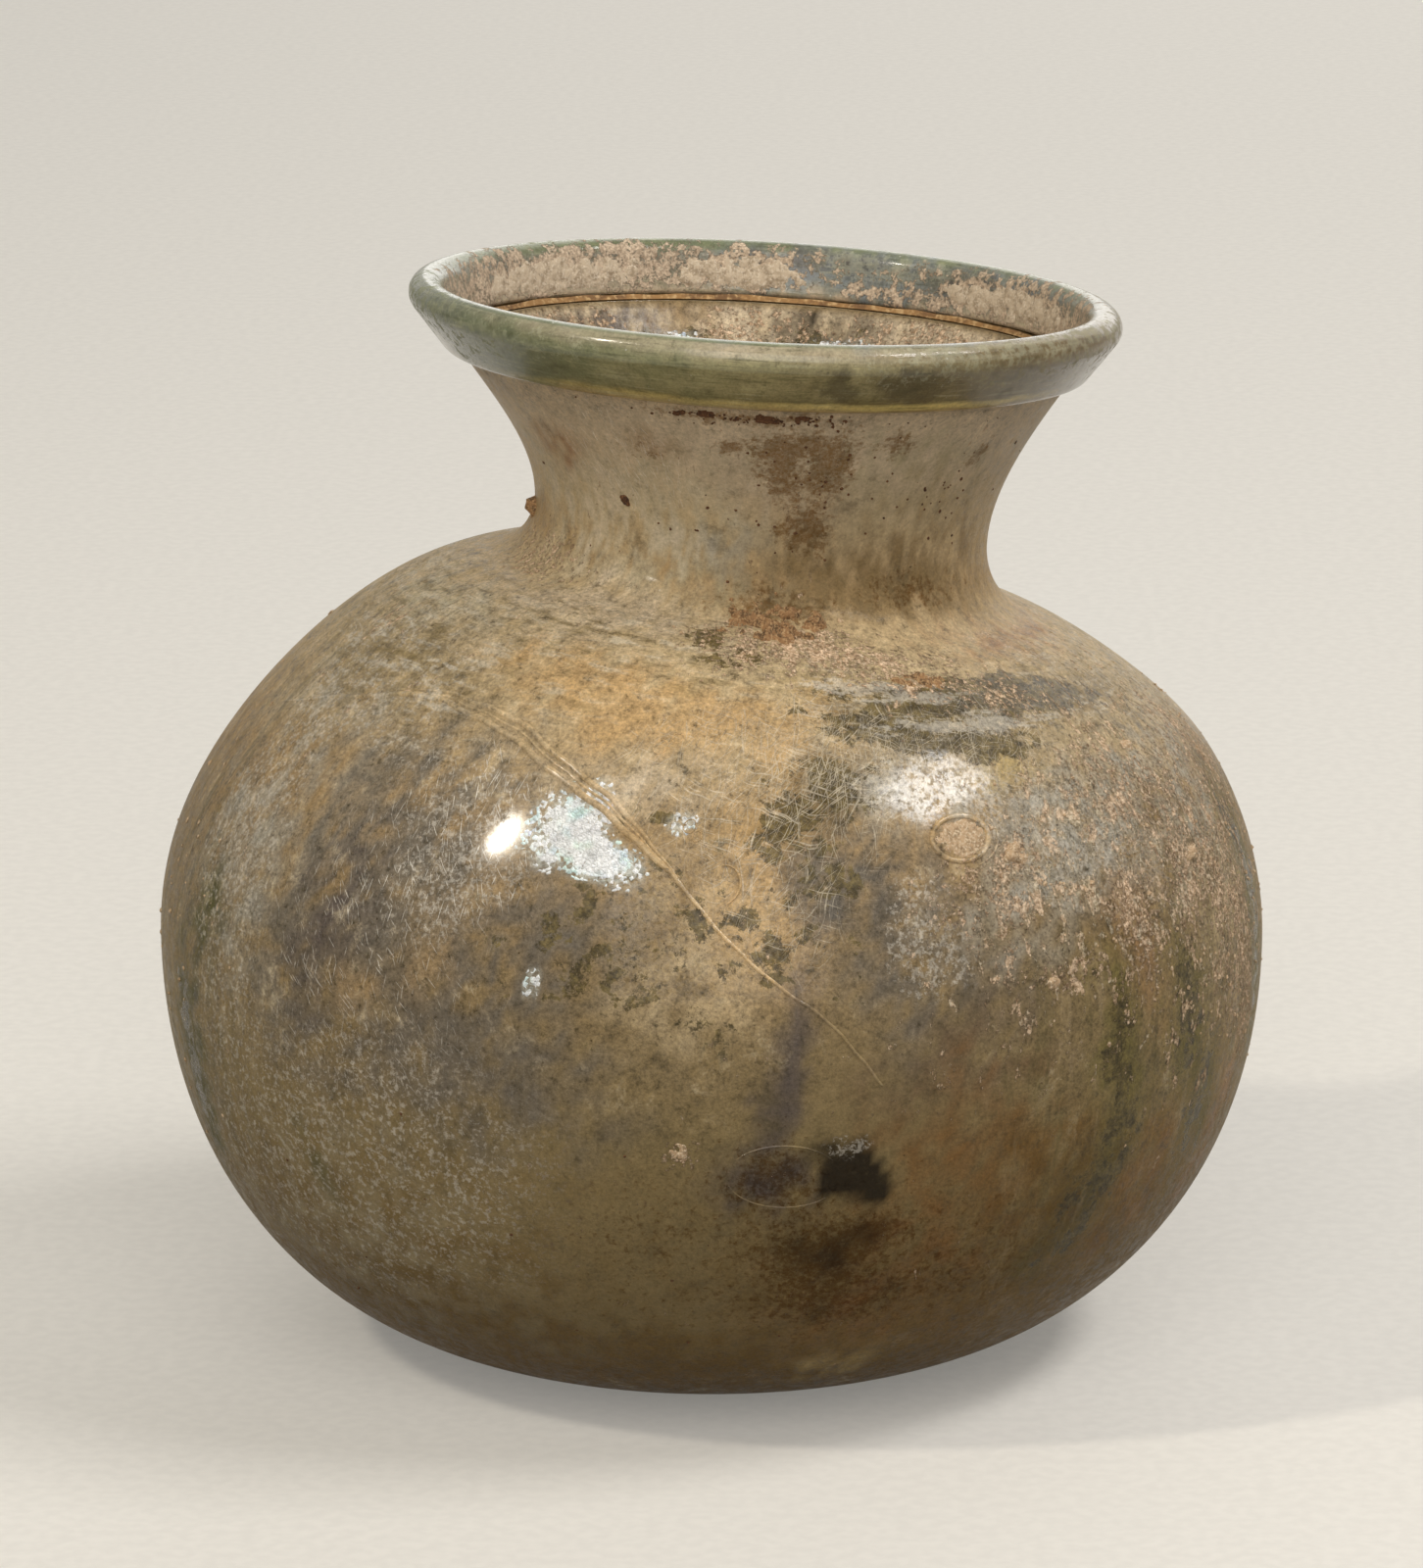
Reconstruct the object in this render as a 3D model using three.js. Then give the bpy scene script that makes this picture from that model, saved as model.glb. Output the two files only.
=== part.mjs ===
// A small free-blown unguentarium: a globular bulb on a flat, kicked base, a short neck that flares into a
// funnel mouth, and a rim whose edge was folded out, up and in. The neck and mouth were tooled askew, so
// they lean a little to the right when the vessel is seen from the front.
//
// The vessel is one gather of glass. It is divided here where the maker changed tool: base, bulb, shoulder,
// neck, funnel and folded rim. The burial soil on and in it is separate matter and has solids of its own.
//
// Millimetres, +Z up, origin at the middle of the standing ring. The front is -Y and the right is +X.

import * as THREE from "three";
import { mergeVertices } from "three/addons/utils/BufferGeometryUtils.js";

// Sizes of the blown form, as radii and heights of its outer skin.
const BODY_RADIUS = 39;
const BODY_WIDEST_HEIGHT = 29.4;
const STANDING_RADIUS = 13.3;
const KICK_RADIUS = 9.6;
const KICK_DEPTH = 1.6;
const SHOULDER_TOP_RADIUS = 19.4;
const SHOULDER_TOP_HEIGHT = 54.1;
const SHOULDER_SLOPE = 0.25;
const THROAT_RADIUS = 16.05;
const THROAT_HEIGHT = 58.5;
const FUNNEL_TOP_RADIUS = 21.7;
const FUNNEL_TOP_HEIGHT = 70.2;

// Fullness of the curves: how far each one runs straight on before it bends away.
const BELLY_FULLNESS_AT_BASE = 13.3;
const BELLY_FULLNESS_AT_WIDEST = 19.1;
const SHOULDER_FULLNESS_AT_WIDEST = 12.8;
const SHOULDER_FULLNESS_AT_TOP = 8.3;
const NECK_FOOT_FULLNESS = 2.9;
const NECK_THROAT_FULLNESS = 1.0;
const FUNNEL_FULLNESS_AT_THROAT = 3.9;
const FUNNEL_FLARE = { across: 2.8, up: 3.9 };

// Thickness of the glass, which the blowing drew thin at the belly and left heavy in the base and neck.
const WALL = { base: 2.1, standing: 2.0, belly: 0.9, shoulderTop: 1.2, throat: 1.1, funnelTop: 0.8 };

// The folded rim: one strip that turns out at the ledge, climbs, rolls over and comes back down inside.
const RIM = {
  layer: 0.7,
  ledgeRadius: 22.75,
  ledgeHeight: 70.25,
  ledgeSag: { across: 0.35, down: 0.42 },
  rollRadius: 23.75,
  rollHeight: 73.6,
  rollTube: 1.25,
  edgeRadius: 21.85,
  edgeHeight: 71.1,
  foldRise: 0.08,
};

// The lean of the neck and mouth, grown from nothing at the belly to its full amount below the neck.
const LEAN = {
  fullHeight: 52.8,
  growth: 3.05,
  neckShift: 3.4,
  mouthShift: 3.7,
  neckTilt: THREE.MathUtils.degToRad(7.3),
  mouthTilt: THREE.MathUtils.degToRad(3.0),
  forwardPitch: THREE.MathUtils.degToRad(-2.1),
};

// The ring of torn glass that the pontil left in the kick.
const SCAR = { radius: 5.6, height: 0.52, halfWidth: 0.5, halfDepth: 0.22, torn: 0.12 };

// A string of stiffer glass that the blowing dragged across the bulb. Its route goes from the left of the
// shoulder down to the front, as bearings from the front in degrees and heights.
const STRING = {
  width: 0.6,
  tipWidth: 0.3,
  route: [
    [-74, 45.6],
    [-50, 48.0],
    [-33, 47.6],
    [-16, 45.0],
    [-5, 41.7],
    [4, 36.6],
    [12, 32.4],
    [17, 28.1],
  ],
};

// The burst blister on the right of the shoulder: where it lies, its half sizes and its lip.
const BLISTER = { bearing: 27.5, height: 43.6, halfAcross: 2.15, halfUp: 1.75, lip: 0.4 };
const BLISTER_SOIL = { across: 1.45, up: 1.1, proud: 0.2, phase: 0.4 };

// The skin of soil that lines the bulb, and the wedge of it in the crease of the fold.
const LINING_DEPTH = 0.3;
const CREASE_SOIL = { reach: 0.68, toeDrop: 0.3, heelDrop: 0.23, crestIn: 0.15, crestDrop: 0.02 };

// The inner face of the rim that carries patches of soil, and how the patches lie on it.
const FACE = { footOut: 0.1, footUp: 0.3, topRadius: 22.6, topHeight: 73.9 };
const FACE_PATCH = { height: 72.65, up: 0.85, proud: 0.16, around: 20 };

// How uneven a lump of soil is: its outline's broad and fine lobes, and its top.
const LUMP = { broadLobes: 0.16, fineLobes: 0.1, top: 0.25 };

// Fineness of the faceting.
const SEGMENTS = 44;
const DIVISIONS = { kick: 4, floor: 3, bulb: 10, shoulder: 8, neck: 5, funnel: 5, roll: 5, fold: 3 };
const STRING_FACETS = { sides: 8, steps: 40 };
const LINING_COARSENESS = 2;

// Touching solids stay this far apart.
const SEAT = 0.1;

// What each kind of piece is made of.
const finish = (color, roughness) => new THREE.MeshStandardMaterial({ color, roughness, metalness: 0 });
const WEATHERED_GLASS = finish("#a3936a", 0.45);
const RIM_GLASS = finish("#a9ad86", 0.2);
const STRING_GLASS = finish("#b5a67c", 0.3);
const PINK_SOIL = finish("#b98f6a", 0.95);
const BROWN_SOIL = finish("#5e3f28", 0.95);
const PALE_SOIL = finish("#c2a27c", 0.95);

// A point of a section: radius and height.
const pt = (r, z) => new THREE.Vector2(r, z);

// Outer skin of the vessel, one curve for each forming zone, from the standing ring to the ledge.
const SKIN = {
  bulb: new THREE.CubicBezierCurve(
    pt(STANDING_RADIUS, 0),
    pt(STANDING_RADIUS + BELLY_FULLNESS_AT_BASE, 0),
    pt(BODY_RADIUS, BODY_WIDEST_HEIGHT - BELLY_FULLNESS_AT_WIDEST),
    pt(BODY_RADIUS, BODY_WIDEST_HEIGHT),
  ),
  shoulder: new THREE.CubicBezierCurve(
    pt(BODY_RADIUS, BODY_WIDEST_HEIGHT),
    pt(BODY_RADIUS, BODY_WIDEST_HEIGHT + SHOULDER_FULLNESS_AT_WIDEST),
    pt(
      SHOULDER_TOP_RADIUS + SHOULDER_FULLNESS_AT_TOP,
      SHOULDER_TOP_HEIGHT - SHOULDER_FULLNESS_AT_TOP * SHOULDER_SLOPE,
    ),
    pt(SHOULDER_TOP_RADIUS, SHOULDER_TOP_HEIGHT),
  ),
  neck: new THREE.CubicBezierCurve(
    pt(SHOULDER_TOP_RADIUS, SHOULDER_TOP_HEIGHT),
    pt(
      SHOULDER_TOP_RADIUS - NECK_FOOT_FULLNESS,
      SHOULDER_TOP_HEIGHT + NECK_FOOT_FULLNESS * SHOULDER_SLOPE,
    ),
    pt(THROAT_RADIUS, THROAT_HEIGHT - NECK_THROAT_FULLNESS),
    pt(THROAT_RADIUS, THROAT_HEIGHT),
  ),
  funnel: new THREE.CubicBezierCurve(
    pt(THROAT_RADIUS, THROAT_HEIGHT),
    pt(THROAT_RADIUS, THROAT_HEIGHT + FUNNEL_FULLNESS_AT_THROAT),
    pt(FUNNEL_TOP_RADIUS - FUNNEL_FLARE.across, FUNNEL_TOP_HEIGHT - FUNNEL_FLARE.up),
    pt(FUNNEL_TOP_RADIUS, FUNNEL_TOP_HEIGHT),
  ),
};

// The whole outer skin as one path, for laying deposits on it.
const outerSkin = new THREE.CurvePath();
outerSkin.curves.push(SKIN.bulb, SKIN.shoulder, SKIN.neck, SKIN.funnel);

// 0 to 1 with level ends.
function ease(value) {
  return THREE.MathUtils.smoothstep(value, 0, 1);
}

// Moves a point of the upright vessel to its place on the leaning one.
function leanPoint(point) {
  const rise = (point.z - BODY_WIDEST_HEIGHT) / (LEAN.fullHeight - BODY_WIDEST_HEIGHT);
  const climb = (point.z - SHOULDER_TOP_HEIGHT) / (FUNNEL_TOP_HEIGHT - SHOULDER_TOP_HEIGHT);
  const body = Math.pow(ease(rise), LEAN.growth);
  const mouth = ease(climb);
  const shift = LEAN.neckShift * body + (LEAN.mouthShift - LEAN.neckShift) * mouth;
  const tilt = LEAN.neckTilt * body + (LEAN.mouthTilt - LEAN.neckTilt) * mouth;
  const pitch = LEAN.forwardPitch * body;
  const { x, y, z } = point;
  point.set(
    shift + x * Math.cos(tilt),
    y * Math.cos(pitch),
    z - x * Math.sin(tilt) + y * Math.sin(pitch),
  );
  return point;
}

// Moves every vertex of a geometry to where a function puts it.
function moveVertices(geometry, moved) {
  const position = geometry.attributes.position;
  const vertex = new THREE.Vector3();
  for (let i = 0; i < position.count; i++) {
    const point = moved(vertex.fromBufferAttribute(position, i));
    position.setXYZ(i, point.x, point.y, point.z);
  }
  return geometry;
}

// Keeps only a geometry's positions, with shared vertices merged into one closed surface.
function closedSurface(geometry) {
  geometry.deleteAttribute("normal");
  geometry.deleteAttribute("uv");
  const merged = mergeVertices(geometry, 1e-4);
  merged.computeVertexNormals();
  return merged;
}

// Revolves a closed section round the upright axis and leans it.
function revolve(section) {
  const turned = new THREE.LatheGeometry(section, SEGMENTS).rotateX(Math.PI / 2);
  return closedSurface(moveVertices(turned, leanPoint));
}

// The direction square to a curve's direction, on its right-hand side.
function squareTo(direction) {
  return pt(direction.y, -direction.x);
}

// The outward normal of a zone's cubic curve, exact at its ends so that two zones meet in the same points.
function outwardNormal(curve, t) {
  const { v0: start, v1: leaving, v2: arriving, v3: end } = curve;
  const first = leaving.clone().sub(start).multiplyScalar((1 - t) ** 2);
  const middle = arriving.clone().sub(leaving).multiplyScalar(2 * t * (1 - t));
  const last = end.clone().sub(arriving).multiplyScalar(t ** 2);
  return squareTo(first.add(middle).add(last).normalize());
}

// Points along a zone's curve, each moved in by a depth that runs from one value to another.
function layerPoints(curve, divisions, depthFrom, depthTo) {
  const points = [];
  for (let i = 0; i <= divisions; i++) {
    const t = i / divisions;
    const depth = THREE.MathUtils.lerp(depthFrom, depthTo, t);
    points.push(curve.getPoint(t).addScaledVector(outwardNormal(curve, t), -depth));
  }
  return points;
}

// Section of a wall zone: up its outer skin and down its inner one.
function wallSection(curve, divisions, wallFrom, wallTo) {
  const outer = layerPoints(curve, divisions, 0, 0);
  const inner = layerPoints(curve, divisions, wallFrom, wallTo);
  return [...outer, ...inner.reverse(), outer[0].clone()];
}

// Inside of the base, from the standing ring's thickness in to the middle, raised by a lift.
function floorCurve(lift) {
  const middleHeight = KICK_DEPTH + WALL.base + lift;
  return new THREE.QuadraticBezierCurve(
    pt(STANDING_RADIUS, WALL.standing + lift),
    pt(STANDING_RADIUS / 2, middleHeight),
    pt(0, middleHeight),
  );
}

// Underside of the base, from the middle of the kick out to the standing ring.
const kickCurve = new THREE.CubicBezierCurve(
  pt(0, KICK_DEPTH),
  pt(KICK_RADIUS * 0.5, KICK_DEPTH),
  pt(KICK_RADIUS * 0.75, 0),
  pt(KICK_RADIUS, 0),
);

// The thick base, pushed up into a shallow kick so that it stands on a flat ring.
function baseGeometry() {
  return revolve([
    ...kickCurve.getPoints(DIVISIONS.kick),
    pt(STANDING_RADIUS, 0),
    ...floorCurve(0).getPoints(DIVISIONS.floor),
  ]);
}

// A ring whose vertices are placed by their direction round it, their side of its middle line and their rise.
// It starts from a torus of tube 1 whose hole is open, so that every vertex has a direction.
function shapedRing(tubeSides, facets, placed) {
  const middle = 2;
  const ring = new THREE.TorusGeometry(middle, 1, tubeSides, facets);
  return moveVertices(ring, ({ x, y, z }) => placed(Math.atan2(y, x), Math.hypot(x, y) - middle, z));
}

// The pontil scar: a low ring with a torn, wavy edge.
function pontilScarGeometry() {
  return closedSurface(
    shapedRing(6, 30, (angle, side, rise) => {
      const wave = 1 + SCAR.torn * (Math.sin(5 * angle) + Math.sin(8 * angle + 1));
      const radius = SCAR.radius + side * SCAR.halfWidth * wave;
      const height = SCAR.height + rise * SCAR.halfDepth * wave;
      return new THREE.Vector3(radius * Math.cos(angle), radius * Math.sin(angle), height);
    }),
  );
}

// The direction, seen from a circle's middle, in which a line from a point outside touches the circle.
function tangentAngle(from, middle, radius, side) {
  const away = from.clone().sub(middle);
  const opening = Math.acos(radius / away.length());
  const turn = side < 0 ? 2 * Math.PI : 0;
  return away.angle() - side * opening - turn;
}

// Section of the folded rim. It starts on the funnel's top edge, runs outside over the ledge and the roll,
// ends in a rounded free edge on the crease, and comes back along the air channel between the two layers.
function rimSection() {
  const { layer, ledgeSag, rollTube } = RIM;
  const top = pt(FUNNEL_TOP_RADIUS, FUNNEL_TOP_HEIGHT);
  const topInside = top.clone().addScaledVector(outwardNormal(SKIN.funnel, 1), -WALL.funnelTop);
  const nose = pt(RIM.ledgeRadius, RIM.ledgeHeight);
  const roll = pt(RIM.rollRadius, RIM.rollHeight);
  const edge = pt(RIM.edgeRadius, RIM.edgeHeight);
  const outerAngle = tangentAngle(nose, roll, rollTube, -1);
  const innerAngle = tangentAngle(edge, roll, rollTube, 1);
  const outerNormal = pt(Math.cos(outerAngle), Math.sin(outerAngle));
  const innerNormal = pt(Math.cos(innerAngle), Math.sin(innerAngle));
  const edgeMiddle = edge
    .clone()
    .addScaledVector(innerNormal, -layer / 2)
    .addScaledVector(squareTo(innerNormal), layer / 2);
  const valley = nose.clone().addScaledVector(outerNormal, -layer);
  const hump = pt((topInside.x + valley.x) / 2, topInside.y + RIM.foldRise);

  const skin = new THREE.Path();
  skin.moveTo(top.x, top.y);
  skin.quadraticCurveTo(nose.x - ledgeSag.across, nose.y - ledgeSag.down, nose.x, nose.y);
  skin.absarc(roll.x, roll.y, rollTube, outerAngle, innerAngle, false);
  skin.absarc(edgeMiddle.x, edgeMiddle.y, layer / 2, innerAngle, innerAngle + Math.PI, false);

  const channel = new THREE.Path();
  channel.absarc(roll.x, roll.y, rollTube - layer, innerAngle, outerAngle, true);
  channel.lineTo(valley.x, valley.y);
  channel.lineTo(hump.x, hump.y);
  channel.lineTo(topInside.x, topInside.y);
  return [...skin.getPoints(DIVISIONS.roll), ...channel.getPoints(DIVISIONS.fold), top];
}

// The soil in the crease under the rim's free edge: a low wedge with its toe on the funnel.
function creaseSoilGeometry() {
  const { reach, toeDrop, heelDrop, crestIn, crestDrop } = CREASE_SOIL;
  const toe = pt(RIM.edgeRadius - reach, RIM.edgeHeight - toeDrop);
  const heel = pt(RIM.edgeRadius, RIM.edgeHeight - heelDrop);
  const crest = pt(RIM.edgeRadius - crestIn, RIM.edgeHeight - crestDrop);
  return revolve([toe, heel, crest, toe.clone()]);
}

// The lining of soil and weathering, from the middle of the floor to under the neck.
function soilLiningGeometry() {
  const { standing, belly, shoulderTop } = WALL;
  const bulbDivisions = DIVISIONS.bulb / LINING_COARSENESS;
  const shoulderDivisions = DIVISIONS.shoulder / LINING_COARSENESS;
  const under = [
    ...floorCurve(SEAT).getPoints(DIVISIONS.floor).reverse().slice(0, -1),
    ...layerPoints(SKIN.bulb, bulbDivisions, standing + SEAT, belly + SEAT).slice(0, -1),
    ...layerPoints(SKIN.shoulder, shoulderDivisions, belly + SEAT, shoulderTop + SEAT),
  ];
  const over = under.map((point, i) => {
    const before = under[Math.max(i - 1, 0)];
    const after = under[Math.min(i + 1, under.length - 1)];
    const inward = squareTo(before.clone().sub(after).normalize());
    return point.clone().addScaledVector(inward, LINING_DEPTH);
  });
  over[0].x = 0;
  return revolve([...under, ...over.reverse()]);
}

// A place on a skin: its path, the side that faces the air, a bearing from the front and a height.
class Spot {
  constructor(path, side, bearing, height) {
    this.path = path;
    this.side = side;
    this.bearing = THREE.MathUtils.degToRad(bearing);
    this.length = path.getLength();
    this.start = this.fractionAt(height);
  }

  // The fraction of the path's length at which it has a height.
  fractionAt(height) {
    let low = 0;
    let high = 1;
    while (high - low > 1e-5) {
      const middle = (low + high) / 2;
      if (this.path.getPoint(middle).y < height) low = middle;
      else high = middle;
    }
    return low;
  }

  // The point that lies across, up and out from the spot, measured along the skin and off it.
  at(across, up, out) {
    const t = THREE.MathUtils.clamp(this.start + up / this.length, 0, 1);
    const foot = this.path.getPoint(t);
    const normal = squareTo(this.path.getTangent(t)).multiplyScalar(this.side);
    const angle = this.bearing + (this.side * across) / foot.x;
    const radius = foot.x + normal.x * out;
    const height = foot.y + normal.y * out;
    return leanPoint(new THREE.Vector3(radius * Math.sin(angle), -radius * Math.cos(angle), height));
  }
}

// Bends a flat-lying geometry onto a spot, with its x across, its y up the skin and its z off it.
function layOn(spot, geometry) {
  return closedSurface(moveVertices(geometry, ({ x, y, z }) => spot.at(x, y, z)));
}

// A lump of soil: a ball pressed flat underneath, with an uneven edge and top.
function lump(spot, { across, up, proud, phase, around = 16, rings = 6 }) {
  const ball = new THREE.SphereGeometry(1, around, rings).rotateX(Math.PI / 2);
  const shaped = moveVertices(ball, ({ x, y, z }) => {
    const angle = Math.atan2(y, x);
    const broad = LUMP.broadLobes * Math.sin(3 * angle + phase);
    const fine = LUMP.fineLobes * Math.sin(5 * angle + 2 * phase);
    const ragged = 1 + broad + fine;
    const bumpy = 1 + LUMP.top * Math.sin(4 * x + phase) * Math.cos(5 * y - phase);
    return new THREE.Vector3(x * across * ragged, y * up * ragged, SEAT + Math.max(z, 0) * proud * bumpy);
  });
  return layOn(spot, shaped);
}

// The lip that is left round the burst blister: an oval ring that stands on the skin.
function blisterLipGeometry(spot) {
  const { halfAcross, halfUp, lip } = BLISTER;
  const ring = shapedRing(6, 24, (angle, side, rise) => {
    const outward = (side * lip) / 2;
    const height = SEAT + ((rise + 1) * lip) / 2;
    const across = (halfAcross + outward) * Math.cos(angle);
    return new THREE.Vector3(across, (halfUp + outward) * Math.sin(angle), height);
  });
  return layOn(spot, ring);
}

// The string of glass: a round thread that lies on the skin all along its route and thins to both ends.
function glassStringGeometry() {
  const { sides, steps } = STRING_FACETS;
  const route = new THREE.SplineCurve(STRING.route.map(([bearing, height]) => pt(bearing, height)));
  const spotAt = (t) => {
    const { x: bearing, y: height } = route.getPoint(t);
    return new Spot(outerSkin, 1, bearing, height);
  };
  const thread = new THREE.CylinderGeometry(1, 1, 1, sides, steps);
  const laid = moveVertices(thread, ({ x, y, z }) => {
    const t = 0.5 - y;
    const radius = THREE.MathUtils.lerp(STRING.tipWidth, STRING.width, Math.sin(Math.PI * t)) / 2;
    const spot = spotAt(t);
    const foot = spot.at(0, 0, 0);
    const off = spot.at(0, 0, 1).sub(foot).normalize();
    const ahead = spotAt(Math.min(t + 0.5 / steps, 1)).at(0, 0, 0);
    const behind = spotAt(Math.max(t - 0.5 / steps, 0)).at(0, 0, 0);
    const beside = ahead.sub(behind).cross(off).normalize();
    return foot.addScaledVector(off, SEAT + radius * (1 + z)).addScaledVector(beside, -radius * x);
  });
  return closedSurface(laid);
}

// A mesh with a name and a material, in a group.
function place(group, name, geometry, material) {
  const mesh = new THREE.Mesh(geometry, material);
  mesh.name = name;
  group.add(mesh);
}

// The glass, zone by zone up the vessel.
function buildGlass() {
  const group = new THREE.Group();
  const { standing, belly, shoulderTop, throat, funnelTop } = WALL;
  const zones = [
    ["bulb", SKIN.bulb, DIVISIONS.bulb, standing, belly],
    ["shoulder", SKIN.shoulder, DIVISIONS.shoulder, belly, shoulderTop],
    ["neck", SKIN.neck, DIVISIONS.neck, shoulderTop, throat],
    ["mouth_funnel", SKIN.funnel, DIVISIONS.funnel, throat, funnelTop],
  ];
  place(group, "base", baseGeometry(), WEATHERED_GLASS);
  place(group, "pontil_scar", pontilScarGeometry(), WEATHERED_GLASS);
  for (const [name, curve, divisions, from, to] of zones) {
    place(group, name, revolve(wallSection(curve, divisions, from, to)), WEATHERED_GLASS);
  }
  place(group, "folded_rim", revolve(rimSection()), RIM_GLASS);
  place(group, "glass_string", glassStringGeometry(), STRING_GLASS);
  return group;
}

// The burst blister, with the soil that fills it.
function buildBlister() {
  const group = new THREE.Group();
  const spot = new Spot(outerSkin, 1, BLISTER.bearing, BLISTER.height);
  place(group, "blister_lip", blisterLipGeometry(spot), STRING_GLASS);
  place(group, "blister_soil", lump(spot, BLISTER_SOIL), PALE_SOIL);
  return group;
}

// The burial soil that clings outside.
function buildOuterSoil() {
  const group = new THREE.Group();
  const lay = (name, material, { bearing, height, ...form }) =>
    place(group, name, lump(new Spot(outerSkin, 1, bearing, height), form), material);

  const frontCrust = { bearing: 3, height: 54.5, across: 3.4, up: 2.1, proud: 0.6, phase: 0.3 };
  const leftCrumb = { bearing: -86, height: 57.6, across: 0.8, up: 0.9, proud: 0.7, phase: 1.1 };
  const rightCrust = { bearing: 26.5, height: 52.5, across: 2.6, up: 0.9, proud: 0.35, phase: 2.0 };
  const blisterCrumb = { bearing: 34.3, height: 42.3, across: 0.8, up: 0.9, proud: 0.4, phase: 2.9 };
  const ledgeDirt = { bearing: -2.5, height: 68.8, across: 4.4, up: 0.45, proud: 0.2, phase: 0.8 };
  const neckSpeck = { bearing: -35.5, height: 61.3, across: 0.5, up: 0.45, proud: 0.25, phase: 1.7 };
  lay("neck_foot_crust", PINK_SOIL, frontCrust);
  lay("neck_foot_crumb", PINK_SOIL, leftCrumb);
  lay("shoulder_crust", PINK_SOIL, rightCrust);
  lay("blister_crumb", PINK_SOIL, blisterCrumb);
  lay("ledge_dirt", BROWN_SOIL, ledgeDirt);
  lay("neck_speck", BROWN_SOIL, neckSpeck);

  const flank = [
    { bearing: 60.5, height: 47.8, across: 0.7 },
    { bearing: 63, height: 39, across: 0.9 },
    { bearing: 68, height: 35.7, across: 0.6 },
    { bearing: 36.5, height: 33.5, across: 0.6 },
    { bearing: -3.5, height: 24, across: 0.7 },
  ];
  flank.forEach(({ bearing, height, across }, i) => {
    const form = { across, up: across * 0.8, proud: across * 0.3, phase: i, around: 12, rings: 4 };
    lay(`flank_crumb_${i + 1}`, PALE_SOIL, { bearing, height, ...form });
  });
  return group;
}

// The soil inside: the lining of the bulb, the line in the crease and the patches on the rim's inner face.
function buildInnerSoil() {
  const group = new THREE.Group();
  place(group, "soil_lining", soilLiningGeometry(), PALE_SOIL);
  place(group, "crease_soil", creaseSoilGeometry(), BROWN_SOIL);

  const foot = pt(RIM.edgeRadius + FACE.footOut, RIM.edgeHeight + FACE.footUp);
  const face = new THREE.LineCurve(foot, pt(FACE.topRadius, FACE.topHeight));
  const { height, ...form } = FACE_PATCH;
  const patches = [
    { name: "mouth_soil_left", bearing: 222, across: 6.2, phase: 0.5 },
    { name: "mouth_soil_middle", bearing: 185, across: 3.6, phase: 1.5 },
    { name: "mouth_soil_right", bearing: 124, across: 6.4, phase: 2.5 },
  ];
  for (const { name, bearing, across, phase } of patches) {
    const spot = new Spot(face, -1, bearing, height);
    place(group, name, lump(spot, { ...form, across, phase }), PINK_SOIL);
  }
  return group;
}

const unguentarium = new THREE.Group();
unguentarium.add(buildGlass(), buildBlister(), buildOuterSoil(), buildInnerSoil());

export default unguentarium;
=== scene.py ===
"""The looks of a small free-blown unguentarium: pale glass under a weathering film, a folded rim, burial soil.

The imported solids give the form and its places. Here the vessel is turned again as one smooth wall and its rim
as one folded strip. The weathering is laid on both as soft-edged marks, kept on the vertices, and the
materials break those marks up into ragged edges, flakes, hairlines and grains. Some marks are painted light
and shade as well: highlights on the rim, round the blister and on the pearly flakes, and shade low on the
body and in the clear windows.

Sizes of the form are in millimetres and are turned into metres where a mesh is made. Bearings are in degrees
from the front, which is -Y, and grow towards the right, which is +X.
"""

import logging
import math
from collections.abc import Iterator, Sequence
from contextlib import contextmanager
from dataclasses import dataclass, field
from enum import Enum

import bpy
import numpy as np
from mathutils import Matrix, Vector, noise


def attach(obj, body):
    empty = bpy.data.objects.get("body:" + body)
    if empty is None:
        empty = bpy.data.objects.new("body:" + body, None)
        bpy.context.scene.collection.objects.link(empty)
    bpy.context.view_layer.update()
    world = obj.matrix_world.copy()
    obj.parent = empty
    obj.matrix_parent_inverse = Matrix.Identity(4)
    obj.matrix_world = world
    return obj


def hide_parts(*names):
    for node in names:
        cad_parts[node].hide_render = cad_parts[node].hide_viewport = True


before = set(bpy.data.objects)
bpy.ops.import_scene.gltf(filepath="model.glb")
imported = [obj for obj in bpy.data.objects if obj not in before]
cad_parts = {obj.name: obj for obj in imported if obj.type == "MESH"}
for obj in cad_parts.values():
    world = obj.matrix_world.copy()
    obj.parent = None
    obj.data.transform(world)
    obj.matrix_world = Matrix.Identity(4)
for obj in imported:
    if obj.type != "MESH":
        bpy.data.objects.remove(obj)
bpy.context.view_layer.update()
log = logging.getLogger("unguentarium")

MM = 0.001
WELD = 1e-6
BODY = "root"

Colour = tuple[float, float, float, float]
Pair = tuple[float, float]


def paint(code: str) -> Colour:
    """Turns a colour code into linear light.

    Args:
        code: the colour as it looks, such as "#c4a474".

    Returns:
        Red, green and blue in linear light, with an opacity of one.
    """
    parts = [int(code[i : i + 2], 16) / 255 for i in (1, 3, 5)]
    red, green, blue = [p / 12.92 if p <= 0.04045 else ((p + 0.055) / 1.055) ** 2.4 for p in parts]
    return (red, green, blue, 1.0)


def ease(value: np.ndarray | float) -> np.ndarray:
    """Goes from 0 to 1 with level ends as the value does."""
    held = np.clip(value, 0.0, 1.0)
    return held * held * (3 - 2 * held)


class Face(Enum):
    """The faces of the glass, as someone who holds the vessel would name them."""

    UNDER = 0
    OUTER = 1
    EDGE = 2
    INNER = 3
    RIM = 4
    CHANNEL = 5


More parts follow.
